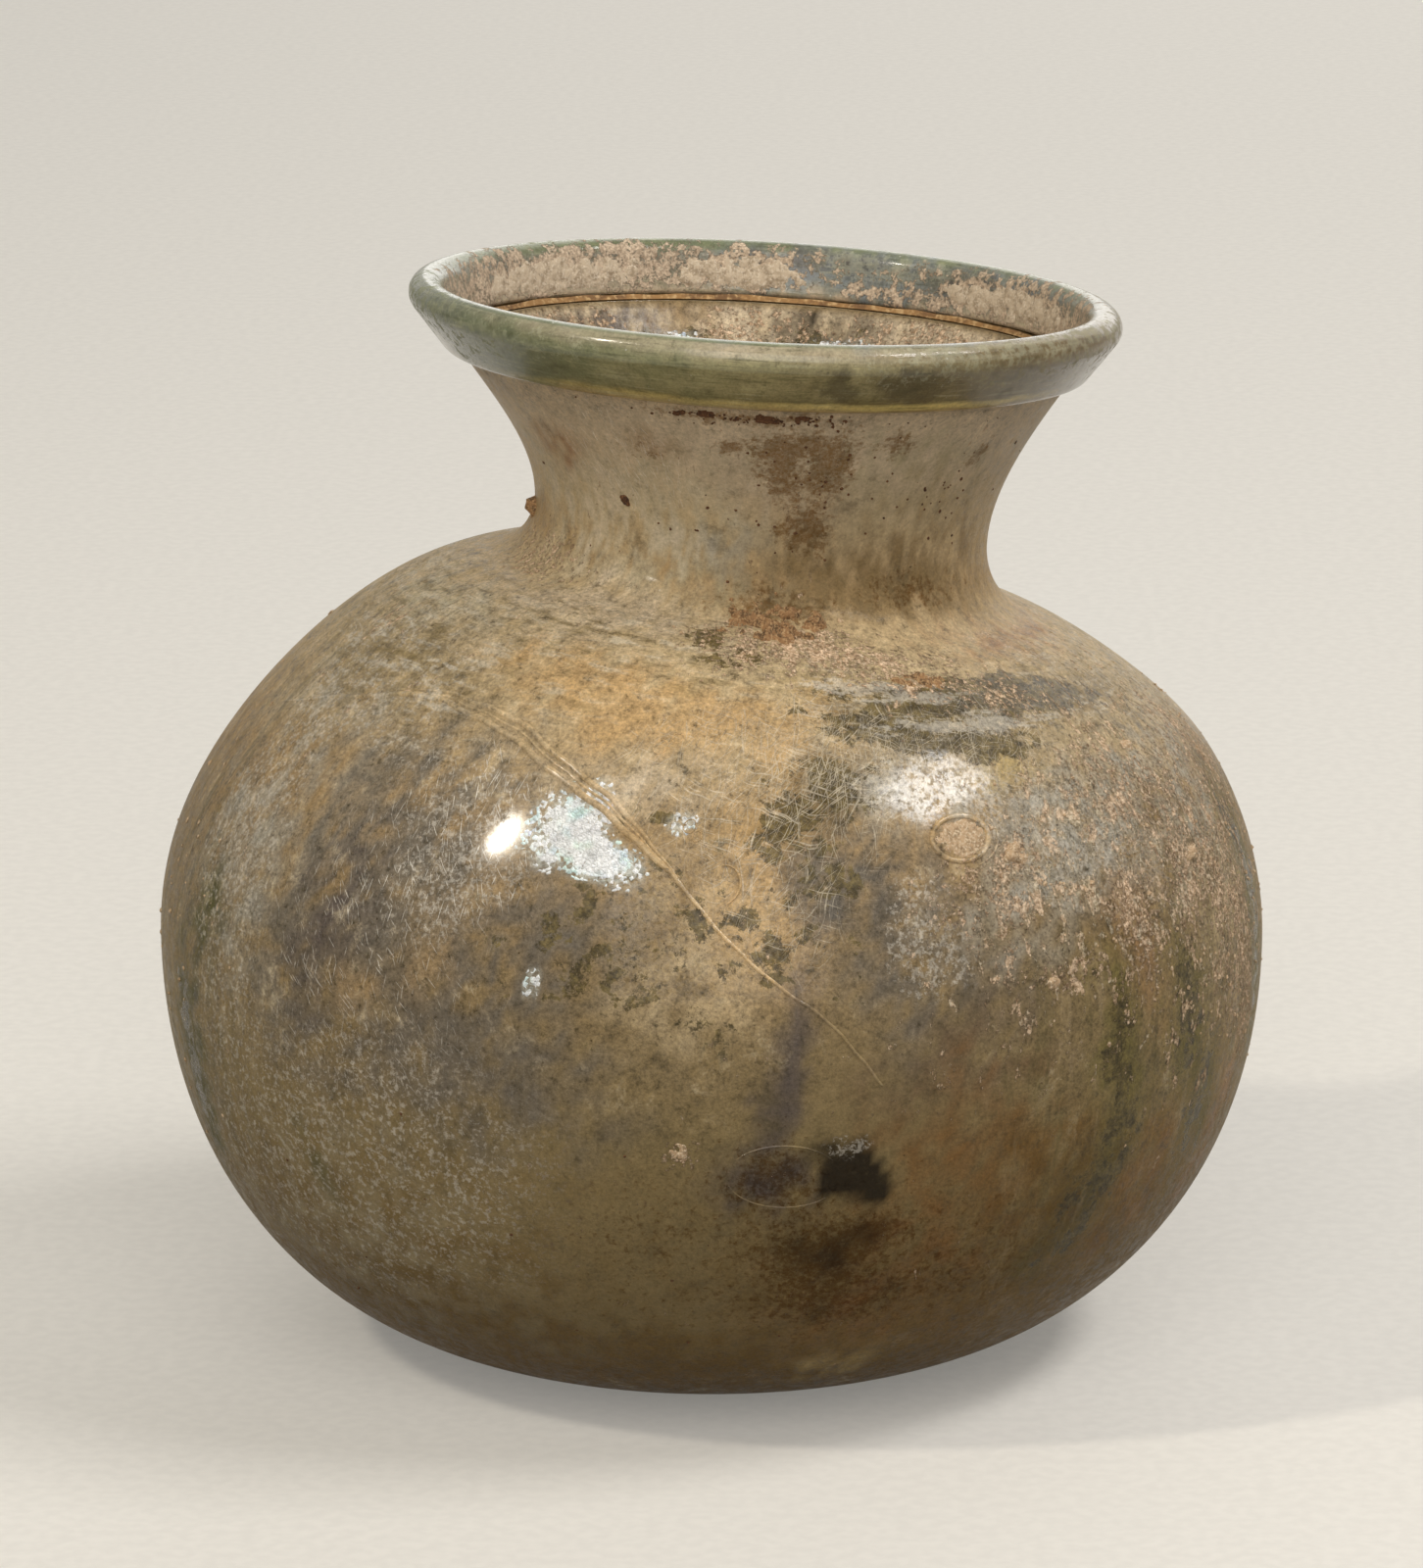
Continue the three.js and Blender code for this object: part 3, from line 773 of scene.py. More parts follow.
class Bench:
    """A node tree, with short ways to lay nodes and to join them."""

    def __init__(self, tree: bpy.types.NodeTree) -> None:
        """Starts work on a tree."""
        self.tree = tree

    def feed(self, socket: bpy.types.NodeSocket, value: Value) -> None:
        """Joins an output to an input, or sets the input's own value."""
        if isinstance(value, bpy.types.NodeSocket):
            self.tree.links.new(value, socket)
        else:
            socket.default_value = value

    def node(self, kind: str, inputs: dict[int | str, Value] | None = None, **settings: object) -> bpy.types.Node:
        """Lays a node.

        Args:
            kind: the node's type.
            inputs: what goes into its sockets, by number or name.
            settings: its other settings.

        Returns:
            The new node.
        """
        made = self.tree.nodes.new(kind)
        for name, setting in settings.items():
            setattr(made, name, setting)
        for key, value in (inputs or {}).items():
            self.feed(made.inputs[key], value)
        return made

    def calc(self, operation: str, a: Value, b: Value = 0.0, c: Value = 0.0) -> bpy.types.NodeSocket:
        """Works out one value from up to three others."""
        return self.node("ShaderNodeMath", {0: a, 1: b, 2: c}, operation=operation).outputs[0]

    def ramp(self, value: Value, low: Value, high: Value, at_low: Value = 0.0, at_high: Value = 1.0) -> bpy.types.NodeSocket:
        """Eases from one value to another as the input passes between two levels."""
        levels = {0: value, 1: low, 2: high, 3: at_low, 4: at_high}
        return self.node("ShaderNodeMapRange", levels, interpolation_type="SMOOTHSTEP").outputs[0]

    def blend(self, share: Value, under: Value, over: Value, mode: str = "MIX") -> bpy.types.NodeSocket:
        """Lays one colour over another."""
        parts = {0: share, 6: under, 7: over}
        return self.node("ShaderNodeMix", parts, data_type="RGBA", blend_type=mode).outputs[2]

    def level(self, share: Value, under: Value, over: Value) -> bpy.types.NodeSocket:
        """Goes from one value to another by a share."""
        return self.node("ShaderNodeMix", {0: share, 2: under, 3: over}, data_type="FLOAT").outputs[0]

    def stretched(
        self, place: Value, scale: tuple[float, float, float], turn: float = 0.0, shift: float = 0.0
    ) -> bpy.types.NodeSocket:
        """Moves, turns about Z and then scales a place, so that a pattern stretches or slants.

        Args:
            place: the place to read the pattern at.
            scale: how fine the pattern is along each axis.
            turn: how far it slants, in degrees.
            shift: how far it is moved, so that two patterns differ.

        Returns:
            The new place.
        """
        turned = self.node("ShaderNodeMapping", {0: place, 2: (0, 0, math.radians(turn))}).outputs[0]
        return self.node("ShaderNodeMapping", {0: turned, 1: (shift, shift, shift), 3: scale}).outputs[0]

    def bent(self, place: Value, fineness: float, reach: float) -> bpy.types.NodeSocket:
        """Pushes a place about, by up to about half the reach, so that straight lines bend."""
        drift = self.node("ShaderNodeTexNoise", {"Vector": place, "Scale": fineness, "Detail": 1.0}).outputs["Color"]
        push = self.node("ShaderNodeVectorMath", {0: drift, 1: (reach,) * 3, 2: place}, operation="MULTIPLY_ADD")
        return push.outputs[0]

    def cloud(
        self, place: Value, scale: Value, detail: float = 2.0, rough: float = 0.5, swirl: float = 0.0
    ) -> bpy.types.NodeSocket:
        """Reads soft noise from 0 to 1, with its middle near 0.5."""
        inputs = {"Vector": place, "Scale": scale, "Detail": detail, "Roughness": rough, "Distortion": swirl}
        return self.node("ShaderNodeTexNoise", inputs).outputs[0]

    def mark(self, mark: Mark) -> bpy.types.NodeSocket:
        """Reads a mark's value from the mesh."""
        return self.node("ShaderNodeAttribute", attribute_name=mark.value).outputs["Fac"]

    def kept(self, name: str, output: str) -> bpy.types.NodeSocket:
        """Reads a colour or a place that the mesh keeps."""
        return self.node("ShaderNodeAttribute", attribute_name=name).outputs[output]

    def effect(self, group: bpy.types.NodeTree, **inputs: Value) -> bpy.types.Node:
        """Places a shared effect with its own values."""
        node = self.node("ShaderNodeGroup")
        node.node_tree = group
        for name, value in inputs.items():
            self.feed(node.inputs[name], value)
        return node


class Effects:
    """The effects that several materials share, each a group of nodes that gives masks, values or colours."""

    def __init__(self) -> None:
        """Builds every effect once."""
        self.ragged = self.build_ragged()
        self.hairlines = self.build_hairlines()
        self.flecks = self.build_flecks()
        self.grain = self.build_grain()
        self.flakes = self.build_flakes()

    @staticmethod
    def start(name: str, inputs: dict[str, str], outputs: dict[str, str]) -> tuple[Bench, dict, bpy.types.Node]:
        """Makes an empty group.

        Args:
            name: the group's name.
            inputs: its inputs, each with a socket type.
            outputs: its outputs, each with a socket type.

        Returns:
            Its bench, its inputs by name and its output node.
        """
        tree = bpy.data.node_groups.new(name, "ShaderNodeTree")
        for label, kind in inputs.items():
            tree.interface.new_socket(label, in_out="INPUT", socket_type=kind)
        for label, kind in outputs.items():
            tree.interface.new_socket(label, in_out="OUTPUT", socket_type=kind)
        bench = Bench(tree)
        given = {socket.name: socket for socket in bench.node("NodeGroupInput").outputs if socket.name}
        return bench, given, bench.node("NodeGroupOutput")

    def build_ragged(self) -> bpy.types.NodeTree:
        """Gives a soft mark a ragged, crumbling edge."""
        inputs = dict.fromkeys(("Field", "Crumble", "Raggedness", "Softness"), "NodeSocketFloat")
        bench, given, out = self.start("ragged_edge", inputs, {"Mask": "NodeSocketFloat"})
        swing = bench.calc("MULTIPLY", bench.calc("SUBTRACT", given["Crumble"], 0.5), given["Raggedness"])
        value = bench.calc("ADD", given["Field"], swing)
        low = bench.calc("SUBTRACT", 0.5, given["Softness"])
        high = bench.calc("ADD", 0.5, given["Softness"])
        mask = bench.ramp(value, low, high)
        present = bench.ramp(given["Field"], 0.03, 0.15)
        bench.feed(out.inputs["Mask"], bench.calc("MULTIPLY", mask, present))
        return bench.tree

    def build_hairlines(self) -> bpy.types.NodeTree:
        """Lays fine bent fibres over one another at several angles."""
        inputs = {"Place": "NodeSocketVector", "Amount": "NodeSocketFloat"}
        bench, given, out = self.start("hairlines", inputs, {"Lines": "NodeSocketFloat"})
        bent = bench.bent(given["Place"], 0.3, 1.5)
        total: Value = 0.0
        for turn, shift, fineness in ((12.0, 3.1, 7.0), (78.0, 17.7, 9.0), (-38.0, 41.3, 8.0), (-72.0, 63.0, 10.0)):
            slanted = bench.stretched(bent, (0.3, 1.25 * fineness, 1.0), turn, shift)
            chance = bench.calc("MULTIPLY_ADD", given["Amount"], 0.09, bench.cloud(slanted, 1.0, 1.5, 0.5))
            total = bench.calc("MAXIMUM", total, bench.ramp(chance, 0.67, 0.72))
        present = bench.ramp(given["Amount"], 0.05, 0.35)
        bench.feed(out.inputs["Lines"], bench.calc("MULTIPLY", total, present))
        return bench.tree

    def build_flecks(self) -> bpy.types.NodeTree:
        """Scatters small round-cornered flecks: some of a cell pattern's cells, each of its own size."""
        inputs = {"Place": "NodeSocketVector", "Fineness": "NodeSocketFloat"}
        inputs |= {"Share": "NodeSocketFloat", "Size": "NodeSocketFloat"}
        bench, given, out = self.start("flecks", inputs, {"Mask": "NodeSocketFloat"})
        cell = bench.node("ShaderNodeTexVoronoi", {"Vector": given["Place"], "Scale": given["Fineness"]})
        lot = bench.node("ShaderNodeSeparateColor", {0: cell.outputs["Color"]})
        chosen = bench.calc("LESS_THAN", lot.outputs[0], given["Share"])
        size = bench.calc("MULTIPLY", given["Size"], bench.ramp(lot.outputs[1], 0, 1, 0.35, 1))
        fleck = bench.ramp(cell.outputs["Distance"], size, bench.calc("MULTIPLY", size, 0.6))
        bench.feed(out.inputs["Mask"], bench.calc("MULTIPLY", fleck, chosen))
        return bench.tree

    def build_grain(self) -> bpy.types.NodeTree:
        """Gives a brightness about 1 that varies in broad clouds, in mottling and in fine grain."""
        inputs = dict.fromkeys(("Broad", "Clots", "Fine", "Strength"), "NodeSocketFloat")
        bench, given, out = self.start("film_grain", inputs, {"Light": "NodeSocketFloat"})
        total: Value = 0.0
        for name, share in (("Broad", 1.4), ("Clots", 1.5), ("Fine", 2.2)):
            total = bench.calc("MULTIPLY_ADD", bench.calc("SUBTRACT", given[name], 0.5), share, total)
        bench.feed(out.inputs["Light"], bench.calc("MULTIPLY_ADD", total, given["Strength"], 1.0))
        return bench.tree

    def build_flakes(self) -> bpy.types.NodeTree:
        """Breaks a mark into small domed flakes of pale changing colours with dark gaps; their whiteness and pastel
        hues are weathering and in part painted sheen.
        """
        inputs = {"Field": "NodeSocketFloat", "Place": "NodeSocketVector", "Fineness": "NodeSocketFloat"}
        outputs = {"Mask": "NodeSocketFloat", "Color": "NodeSocketColor", "Dome": "NodeSocketFloat"}
        bench, given, out = self.start("pearl_flakes", inputs, outputs)
        reading = {"Vector": given["Place"], "Scale": given["Fineness"]}
        cell = bench.node("ShaderNodeTexVoronoi", reading)
        edge = bench.node("ShaderNodeTexVoronoi", reading, feature="DISTANCE_TO_EDGE")
        lot = bench.node("ShaderNodeSeparateColor", {0: cell.outputs["Color"]})
        drop = bench.calc("MULTIPLY", bench.calc("SUBTRACT", lot.outputs[0], 0.5), 0.6)
        kept = bench.ramp(bench.calc("ADD", given["Field"], drop), 0.47, 0.53)
        whole = bench.ramp(edge.outputs["Distance"], 0.0, 0.06, 0.55, 1.0)
        drift = bench.cloud(given["Place"], 0.35, detail=1)
        hue = bench.calc("MULTIPLY_ADD", lot.outputs[1], 0.1, bench.calc("MULTIPLY_ADD", drift, 0.7, 0.1))
        strong = bench.ramp(bench.cloud(given["Place"], 0.6, detail=2), 0.45, 0.68, 0.02, 0.24)
        tinted = bench.node("ShaderNodeCombineColor", {0: hue, 1: strong, 2: 1.0}, mode="HSV").outputs[0]
        shade = bench.ramp(lot.outputs[2], 0, 1, 0.9, 1.0)
        bench.feed(out.inputs["Mask"], bench.calc("MULTIPLY", kept, whole))
        bench.feed(out.inputs["Color"], bench.blend(1.0, tinted, shade, "MULTIPLY"))
        bench.feed(out.inputs["Dome"], bench.ramp(edge.outputs["Distance"], 0.0, 0.35))
        return bench.tree


class Finish:
    """What every finish shares: a material with a Principled shader and a bench to build on."""

    name: str

    def begin(self) -> tuple[bpy.types.Material, Bench, bpy.types.Node, bpy.types.NodeSocket]:
        """Makes an empty material.

        Returns:
            The material, its bench, its shader and the place in millimetres that its patterns are read at.
        """
        material = bpy.data.materials.new(self.name)
        material.use_nodes = True
        material.node_tree.nodes.clear()
        bench = Bench(material.node_tree)
        shader = bench.node("ShaderNodeBsdfPrincipled")
        out = bench.node("ShaderNodeOutputMaterial")
        bench.feed(out.inputs["Surface"], shader.outputs[0])
        place = bench.node("ShaderNodeTexCoord").outputs["Object"]
        scaled = bench.node("ShaderNodeMapping", {0: place, 3: (1 / MM, 1 / MM, 1 / MM)}).outputs[0]
        return material, bench, shader, scaled

    @staticmethod
    def relief(bench: Bench, shader: bpy.types.Node, height: Value) -> None:
        """Gives a shader a fine relief whose heights are in millimetres."""
        bump = bench.node("ShaderNodeBump", {"Strength": 1.0, "Distance": MM, "Height": height})
        bench.feed(shader.inputs["Normal"], bump.outputs[0])


@dataclass(frozen=True)
class WeatheredGlass(Finish):
    """The wall's finish: a satin film that is worn, stained, frosted and flaked by marks on the mesh."""

    effects: Effects
    name: str = "weathered_glass"
    film_rough: float = 0.46
    bare_rough: float = 0.14
    soil_rough: float = 0.95
    coat_rough: float = 0.12
    refraction: float = 1.36

    def build(self) -> bpy.types.Material:
        """Builds the material, layer over layer."""
        material, bench, shader, place = self.begin()
        effects = self.effects
        wrap = bench.kept("wrap", "Vector")
        broad = bench.cloud(place, 0.42, 10, 0.75, 0.2)
        clots = bench.cloud(bench.stretched(place, (1, 1, 1), shift=13.0), 1.35, 8, 0.74)
        crumb = bench.cloud(bench.stretched(place, (1, 1, 1), shift=31.0), 2.4, 6, 0.72)
        fine = bench.cloud(place, 3.8, 4, 0.8)
        smear = bench.cloud(bench.stretched(wrap, (0.2, 0.2, 1.25)), 1.0, 8, 0.72, 0.35)
        run = bench.cloud(bench.stretched(wrap, (0.6, 0.6, 0.12), shift=9.0), 1.0, 8, 0.7, 0.25)

        film = self.shade(bench, broad, clots, smear, run)
        along = bench.level(0.3, crumb, run)
        across = bench.level(bench.ramp(bench.mark(Mark.SMEAR), 0.1, 0.7, 0.15, 0.6), crumb, smear)
        flake_field = bench.mark(Mark.PEARL)
        # Silvery weathering under the flakes, whitened in part as painted sheen.
        silvering_and_sheen = bench.calc("MULTIPLY", bench.ramp(flake_field, 0.12, 0.6), bench.ramp(crumb, 0.4, 0.56, 0.1, 0.75))
        bare = self.layer(bench, Mark.BARE, broad, 4.0, 0.06)
        spotty = bench.level(0.5, clots, crumb)
        stain = self.layer(bench, Mark.STAIN, spotty, 3.6, 0.26)
        frost = self.layer(bench, Mark.FROST, across, 7.0, 0.3)
        peach = self.layer(bench, Mark.PEACH, along, 6.0, 0.12)
        flakes = bench.effect(effects.flakes, Field=flake_field, Place=place, Fineness=3.6)
        unrolled = bench.kept("unrolled", "Vector")
        fibre = bench.effect(effects.hairlines, Place=unrolled, Amount=bench.mark(Mark.FIBRE)).outputs[0]
        scratch = self.scratches(bench, unrolled)
        drawn = bench.cloud(bench.stretched(wrap, (1.1, 1.1, 0.5), shift=71.0), 1.0, 9, 0.74, 0.5)
        clumped = bench.calc("MULTIPLY_ADD", broad, 0.4, bench.level(0.7, crumb, drawn))
        share = bench.calc("MULTIPLY_ADD", bench.mark(Mark.SPECK), 0.17, bench.calc("SUBTRACT", clumped, 0.2))
        speck = bench.ramp(share, 0.625, 0.655)
        pits = bench.effect(effects.flecks, Place=place, Fineness=1.25, Share=0.07, Size=0.13).outputs[0]

        # Where the film is gone, the glass's own olive tint is made dark as painted shade for the dim inside seen
        # through it.
        glass = bench.blend(bench.ramp(clots, 0.4, 0.6), paint("#40371e"), paint("#6b5d36"))
        film = bench.blend(bench.calc("MULTIPLY", bare, 0.86), film, glass)
        soaked = bench.calc("MULTIPLY", stain, bench.ramp(fine, 0.36, 0.6, 0.55, 0.95))
        film = bench.blend(soaked, film, paint("#a18969"), "MULTIPLY")
        film = bench.blend(bench.calc("MULTIPLY", frost, 0.5), film, paint("#d2cabb"))
        film = bench.blend(silvering_and_sheen, film, paint("#cdd0c6"))
        film = bench.blend(flakes.outputs["Mask"], film, flakes.outputs["Color"])
        earth = bench.blend(bench.ramp(fine, 0.35, 0.65), paint("#b08e6c"), paint("#e6ccae"))
        thin = bench.ramp(broad, 0.44, 0.56)
        dust = bench.blend(bench.ramp(fine, 0.35, 0.65), paint("#b5a27e"), paint("#ddd0b6"))
        film = bench.blend(bench.calc("MULTIPLY", peach, 0.92), film, earth)
        film = bench.blend(bench.calc("MULTIPLY", fibre, 0.52), film, paint("#ddd0b8"))
        film = bench.blend(bench.calc("MULTIPLY", scratch, 0.75), film, paint("#efe9dc"))
        film = bench.blend(bench.calc("MULTIPLY", speck, 0.75), film, bench.blend(thin, dust, earth))
        film = bench.blend(bench.calc("MULTIPLY", pits, 0.75), film, paint("#43361f"))
        strength = bench.calc("MULTIPLY_ADD", bench.mark(Mark.CALM), -0.5, 0.95)
        light = bench.effect(effects.grain, Broad=broad, Clots=clots, Fine=fine, Strength=strength).outputs[0]
        bench.feed(shader.inputs["Base Color"], bench.blend(1.0, film, light, "MULTIPLY"))

        satin = bench.ramp(clots, 0.4, 0.6, self.film_rough - 0.12, self.film_rough + 0.14)
        rough = bench.level(bare, satin, self.bare_rough)
        rough = bench.level(flakes.outputs["Mask"], rough, 0.2)
        soil = bench.calc("MAXIMUM", peach, speck)
        bench.feed(shader.inputs["Roughness"], bench.level(soil, rough, self.soil_rough))
        polish = bench.calc("MULTIPLY_ADD", bench.mark(Mark.GLOSS), 0.85, 0.06)
        patchy = bench.ramp(crumb, 0.4, 0.54, 0.1, 1.0)
        patchy = bench.calc("MAXIMUM", patchy, bench.ramp(bench.mark(Mark.GLOSS), 0.86, 0.97))
        dull = bench.calc("MAXIMUM", soil, stain)
        bench.feed(shader.inputs["Coat Weight"], bench.level(dull, bench.calc("MULTIPLY", polish, patchy), 0.0))
        shader.inputs["Coat Roughness"].default_value = self.coat_rough
        shader.inputs["IOR"].default_value = self.refraction
        shader.inputs["Specular IOR Level"].default_value = 0.12

        height = bench.calc("MULTIPLY", fine, 0.03)
        for source, amount in ((clots, 0.06), (crumb, 0.03), (peach, 0.05), (fibre, 0.015), (speck, 0.04), (pits, -0.04)):
            height = bench.calc("MULTIPLY_ADD", source, amount, height)
        domed = bench.calc("MULTIPLY", flakes.outputs["Dome"], flakes.outputs["Mask"])
        self.relief(bench, shader, bench.calc("MULTIPLY_ADD", domed, 0.05, height))
        return material

    @staticmethod
    def shade(bench: Bench, broad: Value, clots: Value, smear: Value, run: Value) -> bpy.types.NodeSocket:
        """Breaks the film's tone up: thin and thick spots, smears on the shoulder, streaks on the flanks.

        Args:
            bench: the material's bench.
            broad: a broad cloud.
            clots: a finer one.
            smear: one drawn out round the vessel.
            run: one drawn out up and down.

        Returns:
            The film's colour.
        """
        film = bench.kept("tone", "Color")
        thin = bench.calc("MULTIPLY", bench.ramp(clots, 0.44, 0.33, 0, 0.6), bench.ramp(bench.mark(Mark.CALM), 0, 1, 1, 0.3))
        film = bench.blend(thin, film, paint("#574b2e"))
        thick = bench.calc("MULTIPLY", bench.ramp(broad, 0.54, 0.68, 0, 0.4), bench.ramp(bench.mark(Mark.CALM), 0, 0.8, 1, 0))
        film = bench.blend(thick, film, paint("#d6c6a6"))
        film = bench.blend(bench.ramp(broad, 0.45, 0.32, 0, 0.4), film, paint("#6b6048"))
        smears, streaks = bench.mark(Mark.SMEAR), bench.mark(Mark.STREAK)
        layers = [
            (smears, bench.ramp(smear, 0.48, 0.38, 0, 0.7), "#79683f"),
            (smears, bench.ramp(smear, 0.52, 0.63, 0, 0.7), "#d8cdb6"),
            (streaks, bench.ramp(run, 0.49, 0.36, 0, 0.55), "#5c5636"),
            (streaks, bench.ramp(run, 0.54, 0.68, 0, 0.4), "#bfa986"),
        ]
        for mark, share, colour in layers:
            film = bench.blend(bench.calc("MULTIPLY", mark, share), film, paint(colour))
        return film

    def layer(
        self, bench: Bench, mark: Mark, crumble: Value, raggedness: float, softness: float
    ) -> bpy.types.NodeSocket:
        """Gives a mark from the mesh a crumbling edge."""
        inputs = {"Field": bench.mark(mark), "Crumble": crumble, "Raggedness": raggedness, "Softness": softness}
        return bench.effect(self.effects.ragged, **inputs).outputs[0]

    @staticmethod
    def scratches(bench: Bench, unrolled: Value) -> bpy.types.NodeSocket:
        """Draws short bright scratches that run down to the right."""
        lines: Value = 0.0
        for turn, shift, fineness in ((40.0, 2.0, 8.0), (62.0, 31.0, 9.0), (95.0, 57.0, 7.0)):
            slanted = bench.stretched(unrolled, (0.5, fineness, 1.0), turn=turn, shift=shift)
            dash = bench.ramp(bench.cloud(slanted, 1.0, 2, 0.5), 0.655, 0.7)
            lines = bench.calc("MAXIMUM", lines, dash)
        return bench.calc("MULTIPLY", lines, bench.ramp(bench.mark(Mark.SCRATCH), 0.1, 0.7))


@dataclass(frozen=True)
class RimGlass(Finish):
    """The rim's finish: fire-polished pale green glass, partly clear, with frosting, smudges and soil."""

    effects: Effects
    name: str = "rim_glass"
    clearness: float = 0.12

    def build(self) -> bpy.types.Material:
        """Builds the material."""
        material, bench, shader, place = self.begin()
        wrap = bench.kept("wrap", "Vector")
        broad = bench.cloud(place, 0.5, 9, 0.72, 0.2)
        clots = bench.cloud(bench.stretched(place, (1, 1, 1), shift=5.0), 1.3, 7, 0.72)
        fine = bench.cloud(place, 5.0, 3, 0.65)
        lines = bench.cloud(bench.stretched(wrap, (0.16, 0.16, 4.0)), 1.0, 5, 0.65)
        masks = {}
        for mark, crumble, raggedness, softness in (
            (Mark.FROST, clots, 6.0, 0.3), (Mark.STAIN, broad, 3.0, 0.3), (Mark.PEACH, clots, 5.0, 0.12),
        ):
            inputs = {"Field": bench.mark(mark), "Crumble": crumble, "Raggedness": raggedness, "Softness": softness}
            masks[mark] = bench.effect(self.effects.ragged, **inputs).outputs[0]
        glass = bench.kept("tone", "Color")
        glass = bench.blend(bench.ramp(lines, 0.45, 0.34, 0.0, 0.5), glass, paint("#575a36"))
        glass = bench.blend(bench.ramp(lines, 0.55, 0.66, 0.0, 0.3), glass, paint("#cfcba4"))
        glass = bench.blend(bench.ramp(clots, 0.42, 0.32, 0.0, 0.35), glass, paint("#555434"))
        glass = bench.blend(bench.calc("MULTIPLY", masks[Mark.STAIN], 0.6), glass, paint("#443e2a"))
        glass = bench.blend(bench.calc("MULTIPLY", masks[Mark.FROST], 0.4), glass, paint("#b9b9a0"))
        earth = bench.blend(bench.ramp(fine, 0.3, 0.7), paint("#b8a188"), paint("#e0ccb2"))
        glass = bench.blend(masks[Mark.PEACH], glass, earth)
        specks = bench.effect(self.effects.flecks, Place=place, Fineness=1.4, Share=0.13, Size=0.13).outputs[0]
        glass = bench.blend(bench.calc("MULTIPLY", specks, 0.6), glass, paint("#dedccf"))
        light = bench.effect(self.effects.grain, Broad=broad, Clots=clots, Fine=fine, Strength=0.5).outputs[0]
        bench.feed(shader.inputs["Base Color"], bench.blend(1.0, glass, light, "MULTIPLY"))

        rough = bench.level(masks[Mark.FROST], 0.14, 0.6)
        bench.feed(shader.inputs["Roughness"], bench.level(masks[Mark.PEACH], rough, 0.95))
        polish = bench.ramp(clots, 0.36, 0.48, 0.15, 0.5)
        dull = bench.calc("MAXIMUM", masks[Mark.PEACH], bench.calc("MULTIPLY", masks[Mark.FROST], 0.8))
        bench.feed(shader.inputs["Coat Weight"], bench.level(dull, polish, 0.0))
        shader.inputs["Coat Roughness"].default_value = 0.12
        shader.inputs["Transmission Weight"].default_value = self.clearness
        shader.inputs["IOR"].default_value = 1.45
        shader.inputs["Specular IOR Level"].default_value = 0.25
        height = bench.calc("MULTIPLY", clots, 0.025)
        for source, amount in ((masks[Mark.PEACH], 0.05), (lines, 0.01), (fine, 0.01)):
            height = bench.calc("MULTIPLY_ADD", source, amount, height)
        self.relief(bench, shader, height)
        return material


@dataclass(frozen=True)
class Soil(Finish):
    """A crumbly burial soil: three shades in clots and grains."""

    name: str
    dark: Colour
    middle: Colour
    pale: Colour
    fineness: float = 3.0
    relief_height: float = 0.06

    def build(self) -> bpy.types.Material:
        """Builds the material."""
        material, bench, shader, place = self.begin()
        clots = bench.cloud(place, self.fineness * 0.45, 6, 0.7)
        grains = bench.cloud(place, self.fineness * 2, 3, 0.6)
        tone = bench.blend(bench.ramp(clots, 0.4, 0.54), self.dark, self.middle)
        tone = bench.blend(bench.ramp(grains, 0.46, 0.68), tone, self.pale)
        bench.feed(shader.inputs["Base Color"], tone)
        bench.feed(shader.inputs["Roughness"], bench.ramp(grains, 0.3, 0.7, 0.85, 1.0))
        height = bench.calc("MULTIPLY", grains, self.relief_height)
        self.relief(bench, shader, bench.calc("MULTIPLY_ADD", clots, 2 * self.relief_height, height))
        return material


@dataclass
class Palette:
    """Every finish of the vessel, built once."""

    effects: Effects = field(default_factory=Effects)

    def __post_init__(self) -> None:
        """Builds the materials."""
        self.wall = WeatheredGlass(self.effects).build()
        self.rim = RimGlass(self.effects).build()
        crust = Soil("crust_soil", paint("#644c32"), paint("#a27b53"), paint("#c7a478"), relief_height=0.09)
        mouth = Soil("mouth_soil", paint("#a8957c"), paint("#cfbca1"), paint("#e2d3bc"), relief_height=0.03)
        brown = Soil("brown_soil", paint("#3a2415"), paint("#5b3a22"), paint("#7d5838"))
        pale = Soil("pale_soil", paint("#9a8060"), paint("#c8a985"), paint("#e6d2b3"))
        rust = Soil("rust_soil", paint("#7a5a3a"), paint("#a17a4c"), paint("#c9a878"), 1.2, 0.03)
        soils = (crust, mouth, brown, pale, rust)
        self.crust, self.mouth, self.brown, self.pale, self.rust = (soil.build() for soil in soils)


